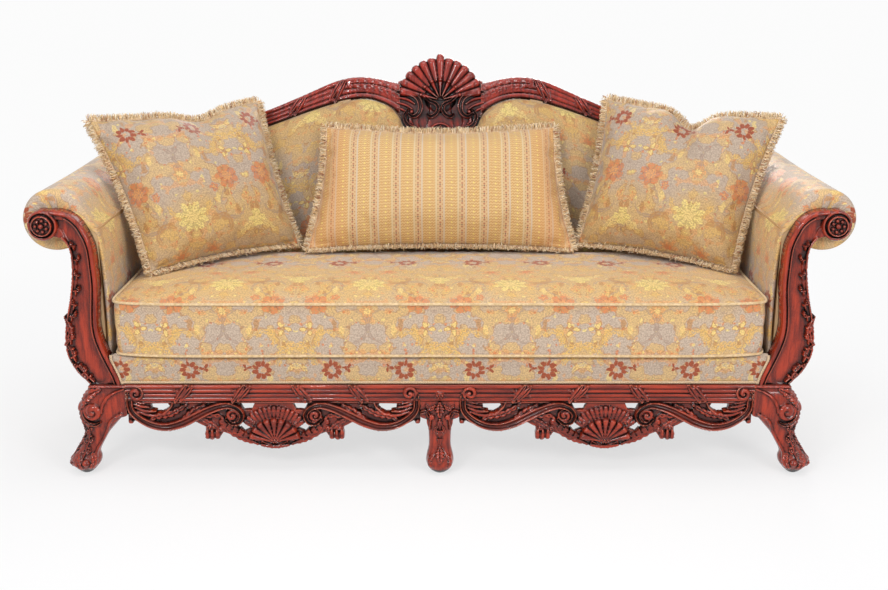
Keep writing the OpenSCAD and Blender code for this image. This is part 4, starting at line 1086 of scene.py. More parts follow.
def make_pillow(side, taper, cloth_material, slot, dip, shift, seed):
    pillow = Pillow(side, taper)
    front, back = pillow_faces(pillow, dip, seed)
    points, faces, cloth, rim = seamed_skin(front, back)
    node = "pillow_" + side
    skin = (points, faces, cloth + shift)
    piece = make_cover(node + "_cover", skin, cloth_material, slot, node, node)
    swell(piece, 4.0, 0.011, spare=0.03, held=rim)
    shape = points_of(piece)
    move_points(piece, pillow.world(shape))
    refine(piece)
    print(node, [round(v, 3) for v in (pillow.w, pillow.h, pillow.t)], len(points), "points")
    return pillow, shape[rim]


pillows = {
    "left": make_pillow("left", 0.06, pillow_cloth, "brocade", (0.22, 0.26, 0.026), (0.30, 0.245), 3),
    "right": make_pillow("right", 0.06, pillow_cloth, "brocade", (0.06, 0.20, 0.054), (0.10, 0.245), 5),
    "lumbar": make_pillow("lumbar", -0.06, striped_cloth, "striped_brocade", (0.0, 0.6, 0.005),
                          (STRIPE_W / 2, 0.2), 8)}

# %% [markdown]
# A brush fringe edges every pillow: thousands of cut threads in cream, gold and brown, held by a
# narrow braid in the seam. No two are quite alike. A material for each would be too many, so a
# colour attribute keeps each thread's own colour.

# %% Threads and their colours
FRINGE_W, CRUSHED_W, THREAD_GAP, THREADS = 0.024, 0.004, 0.0017, 3
THREAD_TONES = np.array([paint(238, 210, 166), paint(224, 190, 138), paint(246, 228, 196),
                         paint(200, 152, 106), paint(174, 116, 82), paint(232, 202, 156)])
TONE_SHARES = (0.27, 0.22, 0.2, 0.13, 0.06, 0.12)
graph = Finish("fringe_thread", Sheen_Weight=0.3, Sheen_Roughness=0.4)
own = graph.source("Attribute", "Color", attribute_name="thread")
fleck = graph.noise(graph.source("TexCoord", "Object"), 900.0, 1.0)
tint = graph.shade(own, graph.step(fleck, 0.3, 0.7, 0.82, 1.1))
fringe_thread = graph.done(tint, graph.step(fleck, 0.3, 0.7, 0.6, 0.8), fleck, 0.3, 0.0004)
print("thread colours:", len(THREAD_TONES))

# %% [markdown]
# Hair could make the threads, but only meshes are exported. So a thread is a thin tube of three
# sides, with its own length, lean and curl. Under the pillow the threads are crushed, and lie
# forward on the seat.

# %% Fringes
def thread_lines(pillow, rim, dice):
    """Four points along each thread, its direction, and the direction of the seam at its root."""
    base = even_line(rim, THREAD_GAP)
    way = unit(np.roll(base, -1, axis=0) - np.roll(base, 1, axis=0))
    root, way = np.repeat(base, THREADS, axis=0), np.repeat(way, THREADS, axis=0)
    out = plot(way[:, 2], 0 * way[:, 0], -way[:, 0])
    count = len(root)
    sink = smoothstep(-0.5, -0.97, out[:, 2:3]) * (root[:, 2:3] < 0.12)
    ahead = np.array([0, -math.cos(pillow.lean), -math.sin(pillow.lean)])
    reach = FRINGE_W * dice.uniform(0.72, 1.02, (count, 1))
    stray = dice.normal(0, 1, (count, 3)) * (0.20, 0.34, 0.20)
    aim = unit(out * (1 - sink) + ahead * sink + stray * (1 - 0.6 * sink))
    curl = dice.normal(0, 1, (count, 3)) * 0.0042
    start = root + dice.normal(0, 0.0008, (count, 3)) - out * 0.002
    drop = np.array([0, 0, -0.0012]) * sink
    lines = []
    for share in (0.0, 0.35, 0.7, 1.0):
        place = start + aim * reach * share + math.sin(share * math.pi) * curl + drop * share
        lines.append(place + out * CRUSHED_W * sink * min(share * 2, 1) * 0.6)
    return np.stack(lines, axis=1), aim, way


def make_fringe(side, pillow, rim, seed):
    dice = np.random.default_rng(seed)
    lines, aim, way = thread_lines(pillow, rim, dice)
    count = len(lines)
    taper = np.array([1.0, 1.15, 1.0, 0.55])[None, :, None, None]
    thick = dice.uniform(0.0009, 0.0014, (count, 1, 1, 1)) * taper
    across = unit(np.cross(aim, way))
    third = np.cross(aim, across)
    turn = (dice.uniform(0, math.tau, (count, 1)) + np.arange(3) * math.tau / 3)[:, :, None]
    ring = (across[:, None] * np.cos(turn) + third[:, None] * np.sin(turn))[:, None]
    points = (lines[:, :, None] + ring * thick).reshape(-1, 3)
    number = np.arange(count * 12).reshape(count, 4, 3)
    number = np.concatenate([number, number[:, :, :1]], axis=2)
    corners = [number[:, :-1, :-1], number[:, :-1, 1:], number[:, 1:, 1:], number[:, 1:, :-1]]
    faces = plot(*corners).reshape(-1, 4).tolist() + number[:, -1, :3].tolist()
    piece = make_piece("fringe_" + side + "_threads", pillow.world(points), faces, fringe_thread, 180)
    tones = THREAD_TONES[dice.choice(len(THREAD_TONES), count, p=TONE_SHARES)]
    tones = tones * dice.uniform(0.8, 1.1, (count, 1))
    tones[:, 3] = 1
    layer = piece.data.color_attributes.new(name="thread", type="FLOAT_COLOR", domain="POINT")
    layer.data.foreach_set("color", np.repeat(tones, 12, axis=0).astype(np.float32).ravel())
    settle(piece, "fringe", "fringe_" + side, body="pillow_" + side)
    braid = even_line(rim, 0.004)
    ripple = 0.0034 + 0.0006 * (np.arange(len(braid)) % 2)
    make_cord("fringe_" + side + "_braid", tube(pillow.world(braid), ripple, closed=True, sides=7),
              "fringe", body="pillow_" + side)
    print("fringe", side, count, "threads")


for seed, (side, (pillow, rim)) in enumerate(pillows.items(), 20):
    make_fringe(side, pillow, rim, seed)

# %% [markdown]
# The carving and the cloth of the back meet along a few lines. Each piece could have its own, but
# shared lines leave no gap. They are distances from the middle and heights along the slope, in
# metres: both edges of the top rail and the lower edge of the crest's cartouche.

# %% Lines of the back
TOP_X1, CREST_X = box_of("top_rail_right")[1][0], box_of("crest_shell")[1][0]
RUN, BACK_L = TOP_X1 - CREST_X, 0.855
top_shares = [(0, 0.886), (0.066, 0.905), (0.136, 0.913), (0.215, 0.898), (0.336, 0.841),
              (0.458, 0.786), (0.597, 0.739), (0.734, 0.699), (0.871, 0.664), (1, 0.637)]
low_shares = [
    (0, 0.768), (0.033, 0.804), (0.101, 0.832), (0.171, 0.829), (0.239, 0.811),
    (0.333, 0.777), (0.451, 0.729), (0.597, 0.681), (0.734, 0.641), (0.871, 0.607),
    (1, 0.581)]
cartouche_shares = [
    (0, 0.614), (0.3, 0.623), (0.52, 0.643), (0.66, 0.672), (0.75, 0.697),
    (0.87, 0.716), (0.96, 0.738), (0.97, 0.765), (1, 0.768)]


def laid_out(shares, start, run):
    """A smooth line through shares of a run along x and of the back's length."""
    return smooth_line([(start + x * run, z * BACK_L) for x, z in shares], 5)


TOP_LINE, LOW_LINE = [laid_out(shares, CREST_X, RUN) for shares in (top_shares, low_shares)]
CARTOUCHE_LINE = laid_out(cartouche_shares, 0, CREST_X)


def line_at(line, x):
    return np.interp(np.abs(x), line[:, 0], line[:, 1])


ROOF = np.vstack([CARTOUCHE_LINE[CARTOUCHE_LINE[:, 0] < 0.97 * CREST_X], LOW_LINE])
print("top rail from", round(CREST_X, 3), "to", round(TOP_X1, 3))

# %% [markdown]
# The inside back is fullest in its middle and thins towards the wood round it. Its cloth is tucked
# behind the rails, with faint pulls along its edges. It is tight, so a formula gives its fullness
# and no simulation is needed.

# %% Inside back
PAD_BACK, PAD_FOOT, PAD_FULL = -0.047, 0.0609, 0.065
x = (np.linspace(-1, 1, 171) * (box_of("back_pad")[1][0] + 0.002))[:, None]
v = np.linspace(-1, 1, 57)[None]
z = PAD_FOOT + (line_at(ROOF, x) - 0.0005 - PAD_FOOT) * (v + 1) / 2
full = ((1 - (x / x[-1]) ** 6) * (1 - v ** 4)) ** 0.6
pulls = 0.0009 * np.sin(x * 140) * np.exp(-(1 - v) / 0.12) + 0.0016 * np.sin(x * 13) * full
rise = 0.004 + PAD_FULL * full ** 0.9 + pulls
points, faces, cloth, _ = seamed_skin(on_back(x, PAD_BACK - rise, z), on_back(x, PAD_BACK, z))
refine(make_cover("inside_back_cover", (points, faces, cloth + (0, 0.30)), back_cloth, "brocade",
                  "back_pad"))
print("inside back:", len(points), "points")

# %% [markdown]
# The arms scroll outwards in a full roll. The cloth runs up the inside, over the roll and in under
# it. At the front it turns over a soft edge and is pleated flat behind the carved volute. A bent
# cylinder would miss the pleats, so one section is repeated along the arm and waves pull its cloth.

# %% Arms
inner_shares = [(1, 0), (0.5, 0.038), (0.05, 0.26), (0, 0.5), (0.15, 0.72), (0.4, 0.83), (0.85, 0.935)]
end_insets = [1.0, 0.72, 0.46, 0.24, 0.10, 0.03, 0.0]
end_steps = [0.0025, 0.0, -0.0015, 0.0, 0.003, 0.008, 0.014]


def arm_section():
    """Outside line of the arm's padding from its foot over the roll, and how deep it may be."""
    foot = arm_low[2]
    rise = [(arm_low[0] + 0.018 * x, foot + (ROLL_Z - foot) * z) for x, z in inner_shares]
    turn = np.radians(np.linspace(151, -122, 40))
    full = ROLL_R + 0.004
    arc = plot(ROLL_X + 0.010 + full * np.cos(turn), ROLL_Z - 0.004 + full * np.sin(turn))
    line = np.vstack([smooth_line(rise, 5)[:-1], arc])
    run = np.linspace(0, lengths(line)[-1], 96)
    line = places_on(line, run)
    inward = np.array([ROLL_X, ROLL_Z]) - line
    near = np.linalg.norm(inward, axis=1)
    on_roll = smoothstep(ROLL_R * 1.5, ROLL_R * 1.02, near)[:, None]
    inward = inward / near[:, None] * on_roll + np.array([1.0, 0.0]) * (1 - on_roll)
    return line, inward, 0.012 + 0.060 * on_roll[:, 0], run


def arm_rows(line, inward, deep):
    front = FACING_BACK
    back = BACK_Y - 0.0521 + (line[:, 1] - RAIL_TOP) * math.tan(RAKE)
    turn = np.linspace(0, 1, len(line))

    def row(y, off):
        x, z = (line + inward * np.reshape(off, (-1, 1))).T
        return plot(x, y, z)

    rows = []
    for inset, step in zip(end_insets, end_steps):
        pleat = 0.0022 * np.sin(turn * 150) * min(inset, 0.5) * 2 * (deep > 0.04)
        rows.append(row(front + step + pleat, deep * inset))
    for share in np.linspace(0, 1, 68)[1:-1]:
        pull = (0.0018 * np.sin(turn * 34 + share * 3) * math.exp(-share / 0.10)
                + 0.0012 * math.sin(share * 21) * np.sin(turn * 9))
        sag = 0.0035 * math.sin(math.pi * share)
        rows.append(row(front + 0.014 + (back - front - 0.028) * share, sag - pull))
    for inset, step in zip(end_insets[::-1], end_steps[::-1]):
        rows.append(row(back - step, deep * inset))
    return np.stack(rows, axis=1)


def make_arm(side, sign):
    line, inward, deep, run = arm_section()
    grid = arm_rows(line, inward, deep)
    cloth = plot(lengths(grid, 1), run[:, None])
    grid[..., 0] *= sign
    number = grid_numbers(grid)
    ends = [number[0].tolist(), number[-1, ::-1].tolist()]
    faces = quads(looped(number.T).T)[:, ::int(sign)].tolist() + [end[::int(sign)] for end in ends]
    skin = (grid.reshape(-1, 3), faces, cloth.reshape(-1, 2) + (0.06, 0.19))
    make_cover("arm_" + side + "_cover", skin, arm_cloth, "brocade", "arm_pad_" + side, sharp=60)
    print("arm", side, number.size, "points")


for side, sign in SIDES:
    make_arm(side, sign)

# %% [markdown]
# Below the loose cushion a plain border bulges softly between the facings. Gimp, a flat pale braid,
# covers its tacked edges: along the rail and up beside both facings. Both are built from the
# facing's own line, because a box would leave a gap beside the curved wood.

# %% Border and gimp
FACING_X0 = facing_low[0]
facing_in_shares = [
    (0, 0), (0.04, 0.06), (0.131, 0.158), (0.207, 0.256), (0.234, 0.336), (0.225, 0.43),
    (0.198, 0.567), (0.203, 0.669), (0.221, 0.79), (0.288, 0.876), (0.374, 0.94),
    (0.509, 0.986), (0.689, 1)]
facing_out_shares = [
    (0.4, 0), (0.46, 0.03), (0.545, 0.072), (0.635, 0.15), (0.662, 0.218),
    (0.653, 0.306), (0.617, 0.394), (0.568, 0.48), (0.523, 0.585), (0.497, 0.7),
    (0.518, 0.79), (0.599, 0.844)]


def facing_line(shares):
    wide, tall = facing_high[0] - FACING_X0, facing_high[2] - facing_low[2]
    return smooth_line([(FACING_X0 + x * wide, RAIL_TOP + z * tall) for x, z in shares], 6)


FACING_IN, FACING_OUT = facing_line(facing_in_shares), facing_line(facing_out_shares)
low, high = box_of("front_border")
v = np.linspace(0, 1, 15)[None]
z = RAIL_TOP + (high[2] - RAIL_TOP) * v[0]
half = np.interp(z, FACING_IN[:12, 1], FACING_IN[:12, 0]) - 0.0008
u = np.linspace(-1, 1, 221)[:, None]
x = u * half[None]
bulge = 0.007 * (1 - (2 * v - 1) ** 4) * (1 - u ** 14)
tucks = 0.0008 * np.sin(x * 95 + 1.3) * (1 - v) + 0.0010 * np.sin(x * 31) * np.sin(v * 3)
y = low[1] + 0.004 - bulge + tucks + 0.010 * smoothstep(0.86, 1.0, v)
front = plot(x, y, z[None])
back = front.copy()
back[..., 1] = high[1]
points, faces, cloth, _ = seamed_skin(front, back)
skin = (points, faces, cloth * (1, -1) + (0, 0.462))
make_cover("front_border_cover", skin, border_cloth, "brocade", "front_border", sharp=60)

edge = plot(half[::-1] - 0.001, z[::-1])
corner = np.array([FACING_X0 - 0.006, RAIL_TOP + 0.0055])
level = np.linspace(-0.885, 0.885, 240)
path = np.vstack([edge * (-1, 1), corner * (-1, 1),
                  plot(level, RAIL_TOP + 0.0050), corner, edge[::-1]])
line = plot(path[:, 0], low[1] - 0.0005, path[:, 1])
whole = lengths(line)[-1]
line = places_on(line, np.arange(0, whole, 0.0035))
thick = 0.0036 + 0.0006 * (np.arange(len(line)) % 2)
make_cord("rail_gimp_braid", tube(line, thick, outward=(0, 1, 0), flat=0.55), "gimp", "rail_gimp")
print("border:", len(points), "points; gimp:", round(float(whole), 2), "m")

# %% [markdown]
# Under the loose cushion lies the sprung deck in a plain cloth, and a black dust cloth closes the bottom. A
# thin box could stand for such a cloth, but stretched cloth is one layer, so the dust cloth is a single
# sheet.

# %% Deck and dust cloth
GIMP_R = 0.0034


def flat_sheet(name, grid, cloth, material, slot, node, flat, held_by, area=None):
    points, cloth = grid.reshape(-1, 3), cloth.reshape(-1, 2)
    piece = make_piece(name, points, quads(grid_numbers(grid)), material, 180, cloth)
    settle(piece, slot, node)
    print(name, "flat size", [round(v, 3) for v in flat])


def floor_grid(node, columns, rows):
    """Places over a level panel, in metres and from -1 to 1, and its lowest and highest corner."""
    low, high = box_of(node)
    x, y = np.meshgrid(np.linspace(low[0], high[0], columns), np.linspace(low[1], high[1], rows),
                       indexing="ij")
    return x, y, x / high[0], (2 * y - low[1] - high[1]) / (high[1] - low[1]), low, high


x, y, u, v, low, high = floor_grid("seat_deck", 141, 45)
rise = 0.004 * (1 - u**8) * (1 - v**8) + 0.0010 * np.sin(x * 28) * np.sin(y * 23)
top, bottom = [plot(x, y, z) for z in (high[2] - 0.004 + rise, low[2])]
rows = [rim_of(bottom) * (1 - s) + rim_of(top) * s for s in (0.3, 0.7)]
skin = boxed_skin(top, bottom, rows, ((0, 0), (0, 0), (0, 0)))
make_cover("seat_deck_cover", skin, deck_cloth, "deck_cloth", "seat_deck", sharp=50)

x, y, u, v, low, high = floor_grid("dust_cover", 121, 41)
sag = 0.004 * (1 - u**2) * (1 - v**2) + 0.0006 * np.sin(x * 60) * v**6
grid = plot(x, y, low[2] + 0.0003 - sag)[:, ::-1]
flat_sheet("dust_cloth_sheet", grid, grid[..., :2], dust_cloth, "dust_cloth", "dust_cover",
           (2 * high[0], high[1] - low[1]), ["seat_braces"])

# %% [markdown]
# Behind the arms and the back the brocade is stretched flat. It is cut round the legs' blocks and
# the crest, and to the slope of the back. Booleans would leave a rough edge, so each column of the
# grid ends on the outline. A thin gimp covers the tacks along the edges.

# %% Outside back and arms
edge = box_of("back_post_right")[1][0] + 0.001
cuts = [BLOCK_IN - 0.0006, BLOCK_IN + 0.0006, BLOCK_OUT - 0.0006, BLOCK_OUT + 0.0006, CREST_X]
x = np.unique(np.concatenate([np.linspace(-edge, edge, 181), np.linspace(-CREST_X, CREST_X, 61),
                             cuts, [-cut for cut in cuts]]))
far = np.abs(x)
wing = 0.380 + (line_at(LOW_LINE, edge) - 0.380) * (far - BLOCK_OUT) / (edge - BLOCK_OUT)
foot = np.where(far < BLOCK_IN, -0.052, np.where(far < BLOCK_OUT, 0.0, wing))
crest = np.interp(far, np.maximum.accumulate(CARTOUCHE_LINE[:, 0]), CARTOUCHE_LINE[:, 1])
roof = np.where(far < CREST_X, crest, line_at(LOW_LINE, far)) - 0.0005
v = np.linspace(0, 1, 48)[None]
z = foot[:, None] + np.maximum(roof - foot, 0.001)[:, None] * v
xx = x[:, None]
dent = 0.0025 * np.sin(math.pi * v) ** 0.5 * (1 - (xx / edge) ** 8)
grid = on_back(xx, 0.0006 - dent, z)[::-1]
cloth = plot(-xx, z + 0.02)[::-1]
flat_sheet("outside_back_cloth", grid, cloth, back_cloth, "brocade", "outside_back",
           (2 * edge, float(roof.max() + 0.052)), ["back_uprights", "back_stretcher"],
           float(np.trapz(roof - foot, x)))
low_x = np.linspace(-BLOCK_IN + 0.004, BLOCK_IN - 0.004, 200)
for name, at, height in (("bottom", low_x, -0.050), ("roof", x[4:-4], roof[4:-4] - 0.003)):
    shape = tube(on_back(at, 0.0015, height), GIMP_R, outward=(0, 1, 0), flat=0.7)
    make_cord("outside_back_gimp_" + name, shape, "gimp")


def make_outside_arm(side, sign):
    low, high = box_of("outside_arm_" + side)
    x = max(abs(low[0]), abs(high[0])) + 0.0005
    v, u = np.linspace(0, 1, 40)[None], np.linspace(0, 1, 60)[:, None]
    z = low[2] + (high[2] + 0.003 - low[2]) * v[0]
    end = BACK_Y + (0.001 - BACK_T) / math.cos(RAKE) + (z - RAIL_TOP) * math.tan(RAKE)
    y = low[1] + (end - low[1])[None] * u
    dent = 0.003 * (np.sin(math.pi * v) * np.sin(math.pi * u)) ** 0.5
    grid, cloth = plot(sign * (x - dent), y, z[None]), plot(y, z[None] - 0.05)
    grid, cloth = (grid[::-1], cloth[::-1]) if sign < 0 else (grid, cloth)
    flat_sheet("outside_arm_" + side + "_cloth", grid, cloth, arm_cloth, "brocade", "outside_arm_" + side,
               (float(end.max() - low[1]), float(z[-1] - z[0])), ["arm_frame_" + side],
               float(np.trapz(end - low[1], z)))
    post_z, foot_y = np.linspace(high[2], low[2] + 0.004, 60), np.linspace(low[1] + 0.002, end[0], 80)
    side_x = sign * (x + 0.001)
    line = np.vstack([plot(side_x, low[1] + 0.004, post_z), plot(side_x, foot_y, low[2] + 0.004)])
    make_cord("outside_arm_" + side + "_gimp", tube(line, GIMP_R, outward=(1, 0, 0), flat=0.7), "gimp")


for side, sign in SIDES:
    make_outside_arm(side, sign)

# %% [markdown]
# Strips of jute webbing hold up the padding of the back. They are seldom seen, so plain sheets with
# a slight wave are enough.

# %% Webbing
STRIP_W, STRIPS = 0.05, 5
half, foot = box_of("back_webbing")[1][0], 0.175
pitch = (line_at(LOW_LINE, half) - foot) / STRIPS
x, up = np.meshgrid(np.linspace(-half, half, 161), np.linspace(0, STRIP_W, 5), indexing="ij")
parts = []
for k in range(STRIPS):
    z = foot + k * pitch + up
    grid = on_back(x, -0.0462 - 0.0008 * np.cos(x * 70 + k), z)
    parts.append((grid.reshape(-1, 3), quads(grid_numbers(grid)).tolist(),
                  plot(x, z).reshape(-1, 2)))
piece = make_cord("back_webbing_strips", join_parts(parts), "webbing", "back_webbing",
                  material=webbing_cloth, sharp=180)
flat = (2 * half, STRIP_W * STRIPS)
flat[0] * flat[1]
print("flat cloths ready")

# %% [markdown]
# The show wood is carved in relief. Sculpting takes long and booleans leave ragged meshes, so a
# carving is a list of cuts, each with its kind, its places in millimetres, its height and a count.
# Together they give two fields over a drawing: how far a place is inside the outline, and how high
# the wood stands there.

# %% Distances in a drawing
def nearest(x, z, line):
    """Distance from places to a line, the share along it, its half width there and its length."""
    start, way = line[:-1, :2], np.diff(line[:, :2], axis=0)
    size = np.maximum(np.linalg.norm(way, axis=1), 1e-9)
    px, pz = x[:, None] - start[:, 0], z[:, None] - start[:, 1]
    t = np.clip((px * way[:, 0] + pz * way[:, 1]) / size**2, 0, 1)
    far = (px - t * way[:, 0]) ** 2 + (pz - t * way[:, 1]) ** 2
    best = far.argmin(axis=1)
    row = np.arange(len(x))
    t, run = t[row, best], np.insert(np.cumsum(size), 0, 0)
    width = line[best, 2] * (1 - t) + line[best + 1, 2] * t if line.shape[1] > 2 else None
    return np.sqrt(far[row, best]), (run[best] + t * size[best]) / run[-1], width, run[-1]


def within(x, z, corners):
    """Distance to the edge of a closed outline: positive inside it and negative outside."""
    loop = looped(corners)
    odd = np.zeros(len(x), dtype=bool)
    for (ax, az), (bx, bz) in zip(loop[:-1], loop[1:]):
        if az != bz:
            odd ^= ((az > z) != (bz > z)) & (x < (bx - ax) * (z - az) / (bz - az) + ax)
    return np.where(odd, 1, -1) * nearest(x, z, loop)[0]


def dome(q):
    """Height of a half round at a share of its radius."""
    return np.sqrt(np.clip(1 - q * q, 0, 1))


print("distances ready")

# %% [markdown]
# Strokes follow a line, as a gouge does: plain rounds, scrolls with raised edges, leaves with lobes
# and veins, and husks that overlap like scales. A negative height is a hollow.

# %% Cuts along a line
def stroke_cut(kind, x, z, data, h, count):
    """Inside distance and height of a cut along a line of places and half widths."""
    line = smooth_line(np.array(data, dtype=float) * 0.001, 5)
    d, s, w, length = nearest(x, z, line)
    w = np.maximum(w, 2e-4)
    lag = 0.35 * np.minimum(d / w, 1.5)
    part = (s * count) % 1
    if kind == "leaf":
        w = w * (0.66 + 0.34 * np.abs(np.sin(math.pi * (s * count - lag))) ** 0.7)
    if kind == "husk":
        w = w * (1 - 0.65 * part)
    q = d / w
    if kind == "scroll":
        up = h * (0.42 + 0.58 * smoothstep(0.1, 0.72, q)) * np.clip(1 - q**10, 0, 1) ** 0.5
    elif kind == "leaf":
        veins = 0.5 + 0.5 * np.cos(math.tau * (s * count - lag - 0.5))
        up = h * (1 - 0.35 * q * q) * (0.70 + 0.30 * veins) - 0.35 * h * np.exp(-(q / 0.10) ** 2)
        up = up * smoothstep(1.0, 0.75, q)
    elif kind == "husk":
        up = h * (1.0 - 0.55 * part) * dome(q) * (1 - 0.25 * np.exp(-(q / 0.15) ** 2))
    else:
        up = h * (dome(q) if h > 0 else np.clip((1 - q) * 4, 0, 1))
    return w - d, up


print("kinds along a line: round, scroll, leaf, husk")

# %% [markdown]
# Cuts round a centre are volutes, which wind to an eye, rosettes of petals, fans of ribs, round
# beads and flat plates. They could be many strokes, but a formula in turn and radius is shorter.

# %% Cuts round a centre
def disc_cut(kind, x, z, data, h, count):
    """The same for a cut round a centre: place, radius, and the first and last angle of a fan."""
    cx, cz, r = np.array(data[:3], dtype=float) * 0.001
    far, turn = np.hypot(x - cx, z - cz), np.arctan2(z - cz, x - cx)
    q = far / r
    if kind == "volute":
        phase = (abs(count) * q ** 0.8 - np.sign(count) * turn / math.tau) % 1
        ridge = np.abs(np.sin(math.pi * phase)) ** 0.6
        up = h * (0.30 + 0.55 * ridge + 0.30 * (1 - q)) * np.clip(1 - q**12, 0, 1) ** 0.5
        return r - far, np.maximum(up, h * 1.15 * dome(q / 0.20))
    if kind == "rosette":
        petal = np.abs(np.cos(turn * count / 2))
        edge = r * (0.80 + 0.20 * petal)
        up = h * (0.45 + 0.40 * petal * np.sin(math.pi * np.clip(q, 0, 1)))
        return edge - far, np.maximum(up * smoothstep(1.0, 0.86, far / edge), h * dome(q / 0.30))
    if kind == "fan":
        first, last = np.radians(data[3:5])
        share = (turn - first) / (last - first)
        rib = dome((np.clip(share, 0, 1) * count) % 1 * 2 - 1)
        edge = r * (0.94 + 0.06 * rib)
        tip = dome(np.maximum(far / edge - 0.86, 0) / 0.14)
        up = h * (0.15 + 0.25 * q + (0.15 + 0.45 * q) * rib) * tip
        gap = np.minimum(share, 1 - share) * (last - first) * far
        return np.minimum(edge - far, gap), up
    return r - far, h * (dome(q) if kind == "bead" else np.clip(1 - q**8, 0, 1) ** 0.5)


def carve(x, z, cuts):
    """Inside distance and height of a whole list of cuts at places x and z, in metres."""
    inside, height = np.full(x.shape, -1.0), np.zeros(x.shape)
    for kind, data, *sizes in cuts:
        flat = np.array(data if np.ndim(data) > 1 else [data], dtype=float) * 0.001
        if kind == "board":
            inside = np.maximum(inside, within(x, z, flat))
            continue
        reach = 0.004 if kind == "hole" else flat[:, 2].max() * 1.4 + 0.004
        (x0, z0), (x1, z1) = flat[:, :2].min(axis=0) - reach, flat[:, :2].max(axis=0) + reach
        near = (x > x0) & (x < x1) & (z > z0) & (z < z1)
        if kind == "hole":
            inside[near] = np.minimum(inside[near], -within(x[near], z[near], flat))
            continue
        cut = stroke_cut if np.ndim(data) > 1 else disc_cut
        h, count = (sizes + [0])[:2]
        gap, up = cut(kind, x[near], z[near], data, h * 0.001, count)
        inside[near] = np.maximum(inside[near], gap)
        old = height[near]
        height[near] = np.where(gap > 0, np.maximum(old, up) if h > 0 else old + up, old)
    return inside, height


print("kinds round a centre: volute, rosette, fan, bead, plate")

# %% [markdown]
# A relief becomes a mesh on a fine grid. Displacement would need the same grid and couldn't pierce
# the board. Points next to the outline slide onto it, the front edges are rounded over, and walls
# join the front to the back. A drawing can be placed upright or on the slope of the back, and
# mirrored for the other side.

# %% Relief as a mesh
SHOW_WOOD = "show_wood"
MIRRORED = (("right", False), ("left", True))


def relief(node, box, cuts, place, depth, material, mirror=False, slot=SHOW_WOOD, edge=0.003,
           step=0.002):
    """A carved board over a plain solid. box is its drawing's size in mm, and place turns x, depth
    and z into points."""
    x, z = [np.arange(box[k], box[k + 1], step * 1000) * 0.001 for k in (0, 2)]
    xx, zz = np.meshgrid(x, z, indexing="ij")
    inside, height = [f.reshape(xx.shape) for f in carve(xx.ravel(), zz.ravel(), cuts)]
    gx, gz = np.gradient(inside, step)
    slide = np.where(np.abs(inside) < 0.75 * step, -inside, 0) / np.maximum(gx * gx + gz * gz, 0.05)
    slide = np.clip(slide, -0.6 * step, 0.6 * step)
    xx, zz = xx + slide * gx, zz + slide * gz
    solid = inside > -0.5 * step
    cell = solid[:-1, :-1] & solid[1:, :-1] & solid[1:, 1:] & solid[:-1, 1:]
    front = quads(grid_numbers(xx))[cell.ravel()]
    drop = edge * (1 - dome(np.clip(1 - np.maximum(inside, 0) / edge, 0, 1)))
    used = np.unique(front)
    count = len(used)
    fresh = np.full(xx.size, -1)
    fresh[used] = np.arange(count)
    front = fresh[front]
    sides = np.concatenate([front[:, [k, (k + 1) % 4]] for k in range(4)])
    _, first, times = np.unique(np.sort(sides, axis=1), axis=0, return_index=True, return_counts=True)
    rim = sides[first[times == 1]]
    walls = plot(rim[:, 1], rim[:, 0], rim[:, 0] + count, rim[:, 1] + count)
    fx, fz, fh, fd = (v.ravel()[used] for v in (xx, zz, height, drop))
    points = np.vstack([place(fx, fd - fh, fz), place(fx, depth - 0.5 * fd, fz)])
    faces = np.vstack([front, front[:, ::-1] + count, walls])
    if mirror:
        points[:, 0] *= -1
        faces = faces[:, ::-1]
    print(node, count, "points in front")
    return settle(make_piece(node + "_carved", points, faces, material, 50), slot, node)


def upright(y):
    """Places a drawing upright, with its ground at a depth y."""
    return lambda x, depth, z: plot(x, y + depth, z)


def both_halves(cuts, width=0):
    """Cuts with their mirror images in a drawing of some width."""
    def over(data):
        if np.ndim(data) > 1:
            return [(width - p[0], *p[1:]) for p in data]
        return (width - data[0], *data[1:])
    return cuts + [(kind, over(data), *sizes[:1], *[-n if kind == "volute" else n for n in sizes[1:]])
                   for kind, data, *sizes in cuts]


print("reliefs ready")

# %% [markdown]
# The aprons are fretted boards, each symmetric about its shell. C-scrolls spring from the legs, run
# under the rail and curl up beside the shell; acanthus leaves grow along them, and husks fall from
# their ends. Only half is drawn, from the outer end to the middle, as a carver turns a pattern
# over.

# %% Aprons
APRON_W = (BLOCK_IN - 0.055) * 1000
half_edge = [
    (0, -65), (20, -62), (62, -84), (90, -90), (119, -87), (148, -77), (182, -62), (196, -68),
    (218, -80), (219, -111), (236, -118), (259, -111), (269, -96), (302, -111), (344, -130),
    (386, -140)]
half_holes = [
    [(66, -8), (112, -5), (124, -22), (104, -36), (70, -34)],
    [(140, -5), (178, -3), (160, -20)], [(166, -22), (194, -34), (190, -44), (168, -34)],
    [(210, -36), (238, -48), (236, -56), (212, -46)],
    [(316, -5), (362, -5), (352, -28), (330, -30)], [(302, -66), (340, -58), (350, -84), (322, -98)]]
scroll_line = [
    (12, 24, 8), (10, 2, 9), (13, -26, 10), (33, -50, 11), (69, -71, 12), (111, -77, 13),
    (153, -66, 14), (195, -45, 14), (237, -24, 13), (279, -12, 11), (310, -20, 9),
    (325, -41, 8), (316, -62, 8), (296, -66, 7), (282, -52, 6)]
